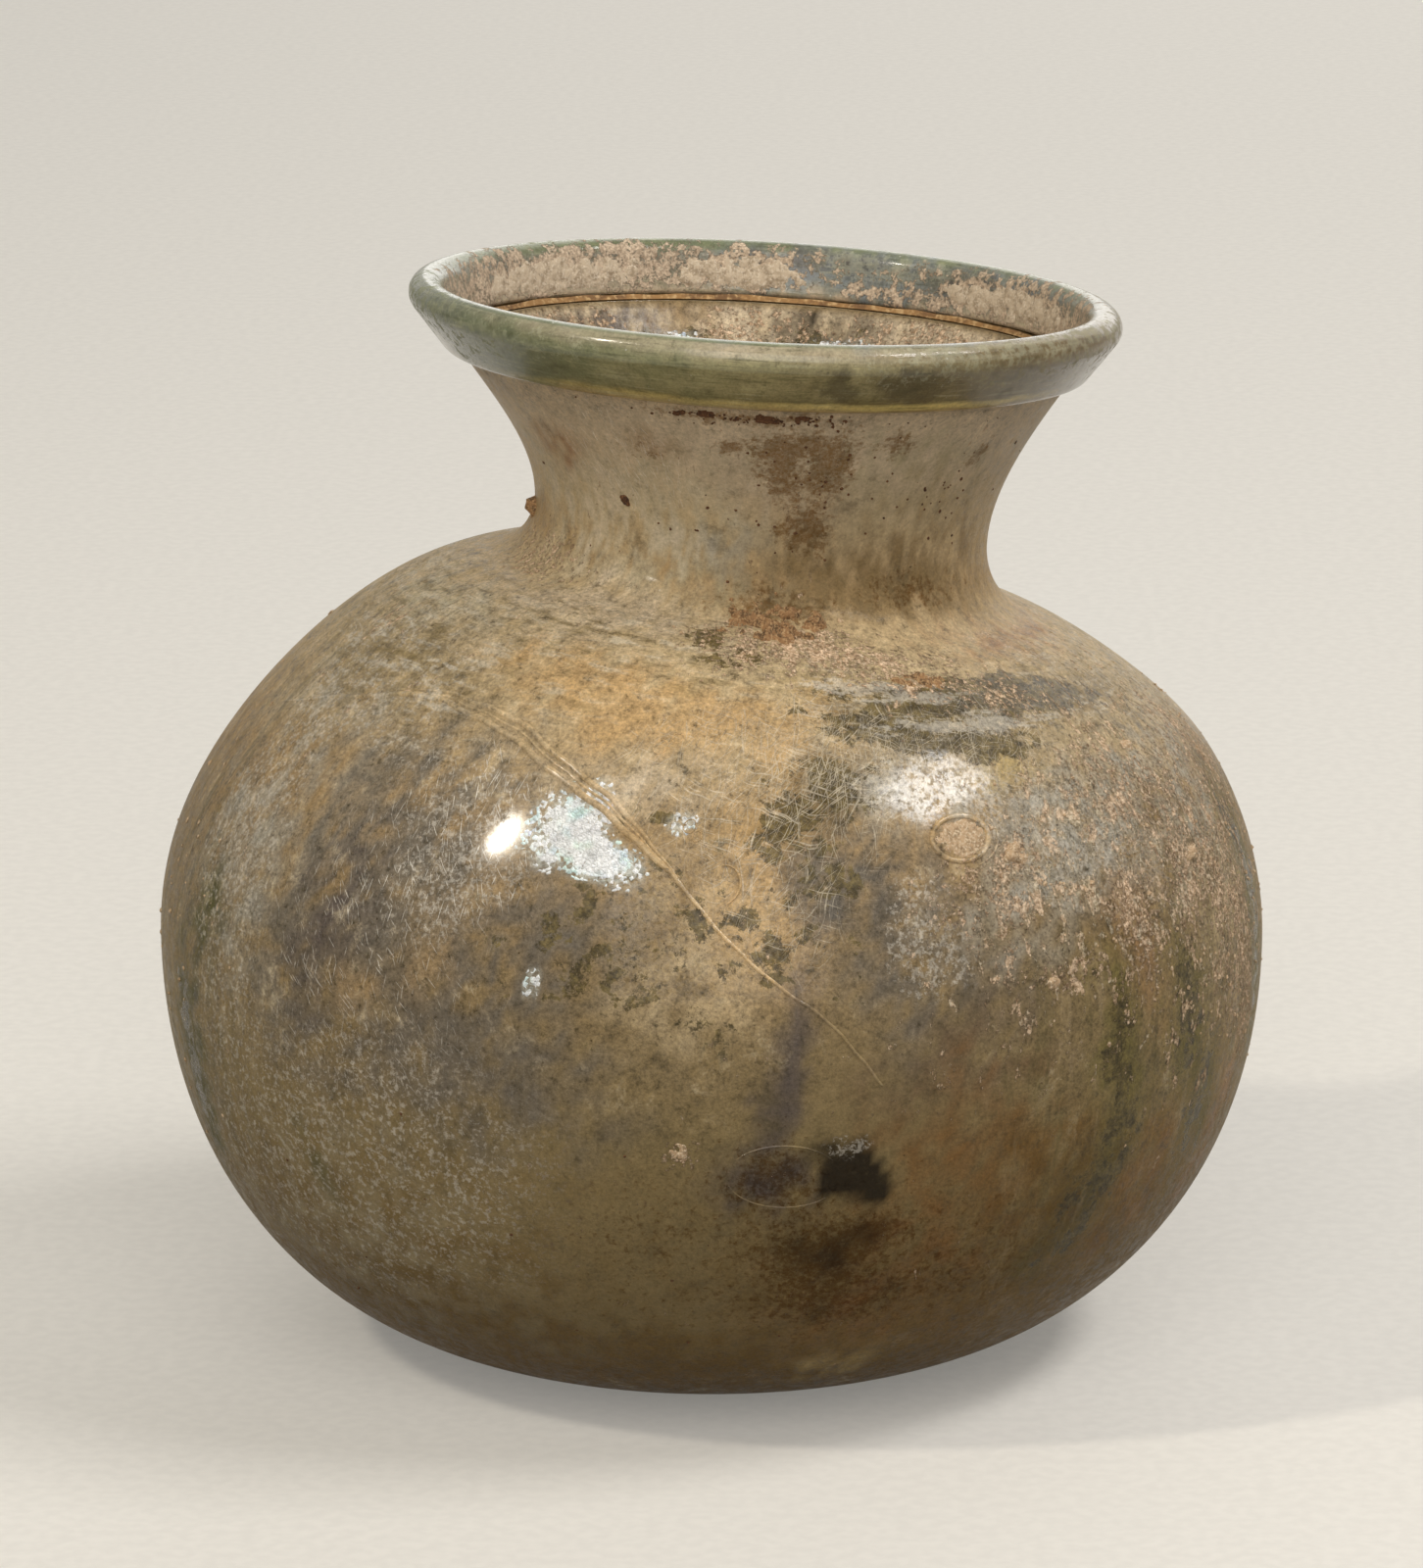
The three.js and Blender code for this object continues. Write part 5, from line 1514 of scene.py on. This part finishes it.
RIM_MARKS: list[tuple[Mark, list[Patch]]] = [
    (Mark.FROST, [Patch(-78, 73.2, 9, 2.6, 0, 0.5), Patch(48, 74.3, 10, 0.9, 0, 0.5), Patch(78, 73.5, 8, 2, 0, 0.45)]),
    (Mark.FROST, [Patch(-45, 73.5, 8, 1.2, 0, 0.2), Patch(40, 73, 9, 1.2, 0, 0.25)]),
    (Mark.STAIN, [Patch(12.5, 72, 1.4, 1.3, 0, 0.95), Patch(25, 72.2, 2, 1.2, 0, 0.9), Patch(19, 72.6, 0.7, 1, 0, 0.7)]),
    (Mark.FROST, [Patch(120, 73, 9, 2, 0, 0.5), Patch(-140, 73.5, 8, 2, 0, 0.6), Patch(170, 72.5, 12, 2, 0, 0.4)]),
]

RIM_INNER_MARKS: list[tuple[Mark, list[Patch]]] = [
    (Mark.PEACH, [Patch(226, 73, 9, 1.6, 0, 0.85), Patch(205, 73, 7, 1.5, 0, 0.75), Patch(186, 73, 5, 1.5, 0, 0.85)]),
    (Mark.PEACH, [Patch(122, 72.8, 10, 1.6, 0, 0.8), Patch(102, 73, 5, 1.8, 0, 0.7), Patch(248, 73, 6, 1.6, 0, 0.7)]),
    (Mark.PEACH, [Patch(152, 72, 5, 0.8, 0, 0.6), Patch(30, 72.4, 12, 1.2, 0, 0.7), Patch(-40, 72.6, 12, 1.3, 0, 0.7)]),
    # The first frost patch is in part a painted highlight on the back of the inner face.
    (Mark.FROST, [Patch(161, 72.9, 5, 1.1, 0, 0.8), Patch(205, 74.2, 12, 0.6, 0, 0.5), Patch(140, 73.8, 12, 0.7, 0, 0.7)]),
]


@dataclass(frozen=True)
class Clod:
    """A lump of soil that clings to the glass: its name, its place, half sizes, height and the solid it replaces."""

    name: str
    spot: Spot
    across: float
    up: float
    proud: float
    stands_for: tuple[str, ...] = ()
    seed: float = 0.0

    ripple: float = 1.0
    margin: float = 1.5
    fineness: float = 0.12
    lowest: float = -0.14

    def build(self, slot: str, material: bpy.types.Material) -> bpy.types.Object:
        """Makes the lump as a crumpled sheet that dips under the glass at its ragged edge.

        Args:
            slot: not used.
            material: the soil.

        Returns:
            The finished piece.
        """
        wide, high = self.across * self.margin, self.up * self.margin
        columns, rows = (max(8, round(2 * side / self.fineness)) for side in (wide, high))
        bpy.ops.mesh.primitive_grid_add(x_subdivisions=columns, y_subdivisions=rows, size=2)
        sheet = bpy.context.object
        sheet.name = self.name
        flat = read_vertices(sheet)
        out = np.array([self.height_at(x, y) for x, y, _ in flat])
        write_vertices(sheet, self.spot.at(flat[:, 0] * wide, flat[:, 1] * high, out))
        self.trim(sheet, out)
        choose(sheet)
        crust = sheet.modifiers.new("crust", "SOLIDIFY")
        crust.thickness = 0.12 * MM
        crust.offset = -1
        bpy.ops.object.modifier_apply(modifier=crust.name)
        smooth(sheet)
        return finish_piece(sheet, material, self.stands_for)

    def height_at(self, x: float, y: float) -> float:
        """Gives the soil's height above the glass at a place from -1 to 1 both ways."""
        place = Vector((x * self.across * self.margin, y * self.up * self.margin, self.seed * 7.3))
        clots = noise.fractal(place * 0.85, 0.8, 2.0, 4)
        grains = noise.fractal(place * 3.2, 0.7, 2.0, 3)
        dome = max(1 - (x * x + y * y) * self.margin**2, -1.5)
        bumps = self.ripple * (1.2 * clots + 0.35 * grains - 0.2)
        return self.proud * min(0.8 * dome + bumps, 1.1) - 0.02

    def trim(self, sheet: bpy.types.Object, out: np.ndarray) -> None:
        """Deletes the part of the sheet that lies well under the glass."""
        choose(sheet)
        for polygon in sheet.data.polygons:
            polygon.select = all(out[i] < self.lowest for i in polygon.vertices)
        for vertex in sheet.data.vertices:
            vertex.select = False
        for edge in sheet.data.edges:
            edge.select = False
        bpy.ops.object.mode_set(mode="EDIT")
        bpy.ops.mesh.select_mode(type="FACE")
        bpy.ops.object.mode_set(mode="OBJECT")
        for polygon in sheet.data.polygons:
            polygon.select = all(out[i] < self.lowest for i in polygon.vertices)
        bpy.ops.object.mode_set(mode="EDIT")
        bpy.ops.mesh.delete(type="FACE")
        bpy.ops.mesh.select_mode(type="VERT")
        bpy.ops.object.mode_set(mode="OBJECT")


@dataclass(frozen=True)
class Thread:
    """A fine raised line of glass, sunk in the skin so that only its back stands proud.

    Its bearings in radians, its distances along the outline, its radii and its heights off the skin are kept
    point by point, with whether it closes.
    """

    line: SkinLine
    bearing: np.ndarray
    length: np.ndarray
    radii: np.ndarray
    proud: np.ndarray | float
    closed: bool = False

    def points(self) -> np.ndarray:
        """Gives the line's middle, in metres."""
        return self.line.lift(self.bearing, self.length, self.proud - self.radii)


def draw_threads(name: str, threads: Sequence[Thread]) -> Surface:
    """Draws raised lines as round-sectioned curves and turns them into one mesh.

    Args:
        name: the piece's name.
        threads: the lines.

    Returns:
        A mesh with closed ends, with each vertex's place on the skin.
    """
    bpy.ops.curve.primitive_bezier_curve_add(location=(0, 0, 0))
    drawn = bpy.context.object
    curve = drawn.data
    curve.dimensions = "3D"
    curve.bevel_depth = 1.0
    curve.bevel_resolution = 2
    curve.use_fill_caps = True
    curve.splines.clear()
    for thread in threads:
        spline = curve.splines.new("POLY")
        points = thread.points()
        spline.points.add(len(points) - 1)
        spline.use_cyclic_u = thread.closed
        spline.points.foreach_set("co", np.c_[points, np.ones(len(points))].ravel())
        spline.points.foreach_set("radius", thread.radii * MM)
    choose(drawn)
    bpy.ops.object.convert(target="MESH")
    body = bpy.context.object
    body.name = body.data.name = name
    close_seams(body)
    smooth(body)
    middles = np.concatenate([thread.points() for thread in threads])
    places = read_vertices(body)
    nearest = [int(np.square(middles - place).sum(axis=1).argmin()) for place in places]
    bearing = np.concatenate([thread.bearing for thread in threads])[nearest]
    length = np.concatenate([thread.length for thread in threads])[nearest]
    line = threads[0].line
    face = np.full(len(places), line.face.value)
    return Surface(body, bearing, line.at(length, line.radius), line.at(length, line.height), face, length)


@dataclass
class Trail:
    """The string of stiffer glass that runs over the left shoulder and down the front: two ridges, then one."""

    vessel: Vessel
    palette: Palette
    route: tuple[Pair, ...] = (
        (-74, 45.6), (-50, 48.0), (-33, 47.6), (-16, 45.0), (-5, 41.7), (4, 36.6), (12, 32.4), (17, 28.1),
    )
    thickness: float = 0.6
    tip: float = 0.2
    proud: float = 0.19
    twin_gap: float = 1.0
    steps: int = 240

    def build(self) -> None:
        """Draws the ridges and the fine line between them, and finishes them as one piece."""
        t = np.linspace(0, 1, self.steps)
        way = catmull(np.array(self.route), t)
        way[:, 1] += 0.05 * np.sin(t * 47) + 0.04 * np.sin(t * 101 + 1)
        swell = np.interp(t, [0, 0.12, 0.3, 0.5, 0.62, 1], [0.3, 0.7, 1.0, 0.95, 0.55, 0.35])
        beside = (t > 0.12) & (t < 0.58)
        taper = np.sin(np.linspace(0, math.pi, beside.sum())) ** 0.5
        apart = np.interp(t[beside], [0.12, 0.3, 0.48, 0.58], [0.3, 1.0, 0.85, 0.15])
        twin = self.thread(way[beside], swell[beside] * taper * 0.9, self.twin_gap * apart)
        hair = self.thread(way[beside], swell[beside] * taper * 0.4, self.twin_gap * apart * 0.5)
        surface = draw_threads("trailed_string", [self.thread(way, swell, np.zeros(len(way))), twin, hair])
        # The ridges are lightened, in part as a painted highlight along them.
        self.vessel.film(surface, 1.26)
        finish_piece(surface.body, self.palette.wall, ["glass_string"])

    def thread(self, way: np.ndarray, swell: np.ndarray, above: np.ndarray) -> Thread:
        """Lays one line on the glass.

        Args:
            way: rows of bearing and height.
            swell: the line's thickness along it, as a share of the full thickness.
            above: how far up the skin the line lies from the route, in millimetres.

        Returns:
            The line.
        """
        skin = self.vessel.skin
        radii = np.maximum(self.thickness * swell, self.tip) / 2
        length = np.array([skin.length_at(height) for height in way[:, 1]]) + above
        return Thread(skin, np.radians(way[:, 0]), length, radii, self.proud * swell)


def catmull(corners: np.ndarray, t: np.ndarray) -> np.ndarray:
    """Runs a smooth line through corners.

    Args:
        corners: rows of coordinates.
        t: places along the line, from 0 to 1.

    Returns:
        One row for each place.
    """
    last = len(corners) - 1
    far = np.clip(t * last, 0, last - 1e-9)
    i = far.astype(int)
    s = (far - i)[:, None]
    before, start = corners[np.maximum(i - 1, 0)], corners[i]
    end, after = corners[i + 1], corners[np.minimum(i + 2, last)]
    bend = 2 * before - 5 * start + 4 * end - after
    twist = 3 * (start - end) + after - before
    return 0.5 * (2 * start + (end - before) * s + bend * s**2 + twist * s**3)


@dataclass
class Bubbles:
    """The burst blister on the right shoulder, and the fine edges of bubbles in the glass."""

    vessel: Vessel
    palette: Palette

    def build(self) -> None:
        """Makes the blister's lip, its soil and the bubbles' edges."""
        skin = self.vessel.skin
        blister = Spot(skin, 27.5, 43.6)
        lip = self.loop(blister, 2.15, 1.75, -8, 0.42, 0.17)
        shine = self.loop(blister, 2.9, 2.3, -8, 0.16, 0.05, 300, 50)
        surface = draw_threads("blister_ring", [lip, shine])
        # The lip is pale soil-tan; the lightening of the shine arc on the right is a painted highlight.
        self.vessel.film(surface, 1.5)
        finish_piece(surface.body, self.palette.wall, ["blister_lip"])
        fill = Clod("blister_fill", blister, 1.95, 1.55, 0.13, ("blister_soil",), 4.0, ripple=0.3)
        fill.build("pale_soil", self.palette.pale)

        edges = [
            self.loop(Spot(skin, 0.5, 41.3), 1.15, 1.3, 0, 0.22, 0.1, 290, 100),
            self.loop(Spot(skin, 7.3, 22.0), 3.9, 2.3, -4, 0.16, 0.03, 35, 150),
            self.loop(Spot(skin, 7.3, 22.0), 3.9, 2.3, -4, 0.16, 0.02, 200, 320),
            self.loop(Spot(skin, -11.3, 48.1), 0.45, 0.5, 0, 0.08, 0.04),
            self.loop(Spot(skin, -9.6, 48.6), 0.35, 0.35, 0, 0.08, 0.04),
            self.loop(Spot(skin, -4.5, 44.4), 0.4, 0.45, 0, 0.08, 0.05),
            self.loop(Spot(skin, -3.4, 43.9), 0.3, 0.35, 0, 0.08, 0.05),
            self.loop(Spot(skin, 152, 40.0), 1.3, 1.0, 12, 0.16, 0.07),
            self.loop(Spot(skin, -118, 30.0), 1.0, 1.6, -10, 0.14, 0.06),
        ]
        surface = draw_threads("bubble_edges", edges)
        # The edges are lightened, in part as painted highlights on the bubbles' outlines.
        self.vessel.film(surface, 1.25)
        finish_piece(surface.body, self.palette.wall)

    @staticmethod
    def loop(
        spot: Spot, across: float, up: float, turn: float, thickness: float, proud: float,
        start: float = 0.0, end: float = 360.0,
    ) -> Thread:
        """Draws an oval line on the glass, or part of one.

        Args:
            spot: its middle.
            across: half its width.
            up: half its height.
            turn: how far it is turned, in degrees.
            thickness: the line's thickness.
            proud: how far the line stands off the glass.
            start: the angle that it starts at, in degrees anticlockwise from the right.
            end: the angle that it ends at.

        Returns:
            The line.
        """
        closed = end - start == 360.0
        sweep = (end - start) % 360 or 360.0
        angle = np.radians(start + np.linspace(0, sweep, 72, endpoint=not closed))
        x, y = across * np.cos(angle), up * np.sin(angle)
        tilt = math.radians(turn)
        radii = np.full(len(angle), thickness / 2)
        if not closed:
            radii *= np.maximum(np.sin(np.linspace(0, math.pi, len(angle))), 0.3)
        flat_x = x * math.cos(tilt) - y * math.sin(tilt)
        flat_y = x * math.sin(tilt) + y * math.cos(tilt)
        bearing, length = spot.near(flat_x, flat_y)
        return Thread(spot.line, bearing, length, radii, proud, closed)


@dataclass
class Burial:
    """The soil on and in the vessel."""

    vessel: Vessel
    palette: Palette
    seed: int = 7

    def build(self) -> None:
        """Lays the outer lumps, the scattered grains, and the soil in the mouth and the bulb."""
        self.build_lumps()
        self.build_grains()
        self.build_mouth()
        self.build_lining()

    def build_lumps(self) -> None:
        """Lays the larger lumps on the outside."""
        skin, palette = self.vessel.skin, self.palette
        pink = [
            Clod("neck_foot_soil", Spot(skin, 3, 54.5), 3.4, 2.1, 0.6, ("neck_foot_crust",), 1),
            Clod("left_neck_soil", Spot(skin, -86, 57.6), 0.9, 1.0, 0.6, ("neck_foot_crumb",), 2),
            Clod("right_shoulder_soil", Spot(skin, 26.5, 52.5), 2.6, 0.9, 0.35, ("shoulder_crust",), 3),
        ]
        for clod in pink:
            clod.build("pink_soil", palette.crust)
        crumb = Clod("soil_by_blister", Spot(skin, 34.3, 42.3), 0.8, 0.9, 0.35, ("blister_crumb",), 5)
        crumb.build("pink_soil", palette.pale)
        brown = [
            Clod("dirt_under_rim", Spot(skin, -2.5, 69.25), 5.2, 0.36, 0.13, ("ledge_dirt",), 6, 2.0, fineness=0.08),
            Clod("dark_neck_spot", Spot(skin, -35.5, 61.3), 0.45, 0.45, 0.2, ("neck_speck",), 7, fineness=0.07),
        ]
        for clod in brown:
            clod.build("brown_soil", palette.brown)
        flank = [(60.5, 47.8, 0.7), (63, 39, 0.9), (68, 35.7, 0.6), (36.5, 33.5, 0.6), (-3.5, 24, 0.7)]
        for i, (bearing, height, size) in enumerate(flank, 1):
            spot = Spot(skin, bearing, height)
            name = f"flank_soil_{i}"
            clod = Clod(name, spot, size, size * 0.8, size * 0.35, (f"flank_crumb_{i}",), 9 + i, fineness=0.08)
            clod.build("pale_soil", palette.pale)

    def build_grains(self) -> None:
        """Scatters pale grains over the flanks and dark specks over the neck."""
        chance = np.random.default_rng(self.seed)
        pale = [(Patch(68, 38, 12, 13), 230), (Patch(42, 40, 7, 8), 60), (Patch(112, 36, 14, 13), 160)]
        pale += [(Patch(-150, 36, 22, 14), 90), (Patch(-75, 33, 8, 14), 40), (Patch(3, 53.5, 6, 3), 60)]
        self.scatter("flank_grains", self.palette.pale, pale, (0.09, 0.26), chance)
        dark = [(Patch(45, 64, 7, 4), 34), (Patch(-1, 69, 8, 0.5), 70), (Patch(-20, 15, 16, 8), 14)]
        dark += [(Patch(170, 64, 20, 4), 30), (Patch(-8, 60, 8, 3), 14), (Patch(10, 65, 6, 4), 40)]
        self.scatter("dark_specks", self.palette.brown, dark, (0.07, 0.17), chance)

    def scatter(
        self, name: str, material: bpy.types.Material, areas: Sequence[tuple[Patch, int]],
        sizes: Pair, chance: np.random.Generator,
    ) -> None:
        """Sets copies of one grain on the glass and joins them.

        Args:
            name: the piece's name.
            material: the soil.
            areas: patches, each with how many grains fall round it.
            sizes: the least and the greatest half size of a grain, in millimetres.
            chance: the source of chance.
        """
        bpy.ops.mesh.primitive_ico_sphere_add(subdivisions=1, radius=1)
        grain = bpy.context.object
        grain.name = name
        shape = read_vertices(grain)
        copies = []
        for patch, count in areas:
            for _ in range(count):
                across, up = chance.normal(0, 0.6, 2) * (patch.across, patch.up)
                half = chance.uniform(*sizes) * chance.uniform(0.6, 1)
                rough = shape * half * chance.uniform(0.6, 1.3, shape.shape)
                spot = Spot(self.vessel.skin, patch.bearing, patch.height)
                copy = grain.copy()
                copy.data = grain.data.copy()
                bpy.context.collection.objects.link(copy)
                write_vertices(copy, spot.at(across + rough[:, 0], up + rough[:, 1], rough[:, 2] * 0.6))
                copies.append(copy)
        write_vertices(grain, read_vertices(copies[0]))
        bpy.data.objects.remove(copies.pop(0))
        choose(grain, *copies)
        bpy.ops.object.join()
        finish_piece(grain, material)

    def build_mouth(self) -> None:
        """Lays the soil on the rim's inner face and in the crease under its free edge."""
        foot, top = (21.95, 71.4), (22.6, 73.9)
        face = SkinLine([straight(foot, top, 8, Face.RIM)], Face.RIM, facing=-1)
        patches = [("left", 222, 6.2), ("middle", 185, 3.6), ("right", 124, 6.4)]
        for i, (side, bearing, across) in enumerate(patches):
            stands_for = (f"mouth_soil_{side}",)
            spot = Spot(face, bearing, 72.65)
            clod = Clod(f"rim_soil_{side}", spot, across, 0.9, 0.12, stands_for, 20 + i, 1.2)
            clod.build("pink_soil", self.palette.mouth)

        toe, heel, crest = (21.17, 70.8), (21.85, 70.87), (21.47, 71.2)
        sides = [straight(toe, heel, 2, Face.INNER), straight(heel, crest, 2, Face.INNER)]
        lathe = Lathe("crease_line", [*sides, straight(crest, toe, 4, Face.INNER)], 320)
        line = lathe.turn()
        thin = 0.5 + 0.25 * np.sin(line.bearing * 9 + 1) + 0.25 * np.sin(line.bearing * 31 + np.sin(line.bearing * 7))
        line.height = line.height - 0.15 * thin * (line.height > 70.85)
        write_vertices(line.body, stand_up(line.radius, line.bearing, line.height))
        finish_piece(line.body, self.palette.rust, ["crease_soil"])

    def build_lining(self) -> None:
        """Lines the bulb with a thin uneven layer of soil."""
        form = self.vessel.form
        under = [form.floor(), *form.inner()[:1:-1]]
        depth, seat = 0.3, 0.1
        line = SkinLine([flip(s) if i else flip(s) for i, s in enumerate(under)], Face.INNER, facing=-1)
        span = np.linspace(0.0, line.length[-1], 48)
        rows = []
        for off in (seat, seat + depth):
            radius = line.at(span, line.radius) + line.at(span, line.out_radius) * off
            height = line.at(span, line.height) + line.at(span, line.out_height) * off
            rows.append(list(zip(np.maximum(radius, 0.0), height)))
        loop = rows[0] + rows[1][::-1]
        stretches = [straight(a, b, 1, Face.INNER) for a, b in zip(loop, loop[1:])]
        layer = Lathe("soil_skin", stretches, 160).turn()
        write_vertices(layer.body, stand_up(layer.radius, layer.bearing, layer.height))
        finish_piece(layer.body, self.palette.pale, ["soil_lining"])


def flip(stretch: Stretch) -> Stretch:
    """Gives the same stretch run the other way."""
    return Stretch(stretch.end, stretch.arrive, stretch.leave, stretch.start, stretch.rows, stretch.face)


@dataclass(frozen=True)
class SoftBox:
    """A soft lamp: the way to it from the vessel, how far it is, its width and height and its power."""

    name: str
    towards: tuple[float, float, float]
    distance: float
    width: float
    height: float
    watts: float
    tint: tuple[float, float, float] = (1.0, 0.97, 0.94)
    shape: str = "RECTANGLE"


@dataclass
class Studio:
    """A pale floor, soft lamps, an even surround and the camera."""

    aim: Vector = field(default_factory=lambda: Vector((0, 0, 0.039426)))
    camera_elevation: float = math.radians(14.194)
    camera_distance: float = 0.56
    lens: float = 182.22
    floor_size: float = 8.0
    boxes: tuple[SoftBox, ...] = (
        SoftBox("left_lamp", (-0.62, -0.365, 0.69), 0.82, 0.044, 0.095, 1.7, (1.0, 0.92, 0.78), "ELLIPSE"),
        SoftBox("right_lamp", (0.603, -0.114, 0.789), 0.82, 0.36, 0.16, 2.8),
        SoftBox("front_lamp", (0.02, -0.85, 0.5), 1.0, 0.8, 0.8, 4.7),
        SoftBox("back_lamp", (0.25, 0.9, 0.45), 1.0, 0.8, 0.8, 2.2),
    )
    surround: float = 0.2
    backdrop: Colour = paint("#d6d3cc")
    floor_for_light: Colour = paint("#7d7a75")
    floor_lift: float = 0.3

    def build(self) -> None:
        """Sets up the studio."""
        self.lay_floor()
        self.light_world()
        for box in self.boxes:
            self.hang(box)
        self.set_camera()
        scene = bpy.context.scene
        scene.view_settings.view_transform = "Standard"

    def seen(self, bench: Bench) -> bpy.types.NodeSocket:
        """Tells rays that see, straight, by reflection or through glass, from those that carry light."""
        path = bench.node("ShaderNodeLightPath")
        mirrored = bench.calc("MAXIMUM", path.outputs["Is Glossy Ray"], path.outputs["Is Transmission Ray"])
        return bench.calc("MAXIMUM", path.outputs["Is Camera Ray"], mirrored)

    def lay_floor(self) -> None:
        """Lays the floor, which looks pale and throws only a little light back up."""
        bpy.ops.mesh.primitive_plane_add(size=self.floor_size, location=(0, 0, 0))
        floor = bpy.context.object
        floor.name = "floor"
        material = bpy.data.materials.new("floor")
        material.use_nodes = True
        bench = Bench(material.node_tree)
        shader = material.node_tree.nodes["Principled BSDF"]
        tone = bench.blend(self.seen(bench), self.floor_for_light, self.backdrop)
        place = bench.node("ShaderNodeTexCoord").outputs["Object"]
        weave = bench.ramp(bench.cloud(place, 900.0, 3), 0.3, 0.7, 0.96, 1.03)
        bench.feed(shader.inputs["Base Color"], bench.blend(1.0, tone, weave, "MULTIPLY"))
        shader.inputs["Roughness"].default_value = 0.9
        shader.inputs["Emission Color"].default_value = self.backdrop
        lift = bench.calc("MULTIPLY", self.seen(bench), self.floor_lift)
        bench.feed(shader.inputs["Emission Strength"], lift)
        floor.data.materials.append(material)

    def light_world(self) -> None:
        """Makes the surround look pale and light the vessel gently."""
        world = bpy.data.worlds.new("surround")
        bpy.context.scene.world = world
        world.use_nodes = True
        bench = Bench(world.node_tree)
        shader = world.node_tree.nodes["Background"]
        shader.inputs["Color"].default_value = self.backdrop
        bench.feed(shader.inputs["Strength"], bench.level(self.seen(bench), self.surround, 1.0))

    def hang(self, box: SoftBox) -> None:
        """Hangs a lamp so that it faces the vessel."""
        way = Vector(box.towards).normalized()
        bpy.ops.object.light_add(type="AREA", location=self.aim + way * box.distance)
        lamp = bpy.context.object
        lamp.name = box.name
        lamp.rotation_euler = way.to_track_quat("Z", "Y").to_euler()
        lamp.data.shape = box.shape
        lamp.data.size = box.width
        lamp.data.size_y = box.height
        lamp.data.energy = box.watts
        lamp.data.color = box.tint

    def set_camera(self) -> None:
        """Sets the camera where the photograph was taken from."""
        back = Vector((0, -math.cos(self.camera_elevation), math.sin(self.camera_elevation)))
        bpy.ops.object.camera_add(location=self.aim + back * self.camera_distance)
        camera = bpy.context.object
        camera.rotation_euler = back.to_track_quat("Z", "Y").to_euler()
        camera.data.lens = self.lens
        camera.data.sensor_width = 36
        camera.data.clip_start = 0.01
        bpy.context.scene.camera = camera


def main() -> None:
    """Builds the studio and then the vessel, part by part."""
    logging.basicConfig(level=logging.INFO, format="%(message)s")
    Studio().build()
    palette = Palette()
    vessel = Vessel(palette)
    vessel.build()
    Rim(vessel, palette).build()
    Trail(vessel, palette).build()
    Bubbles(vessel, palette).build()
    Burial(vessel, palette).build()


if __name__ == "__main__":
    main()
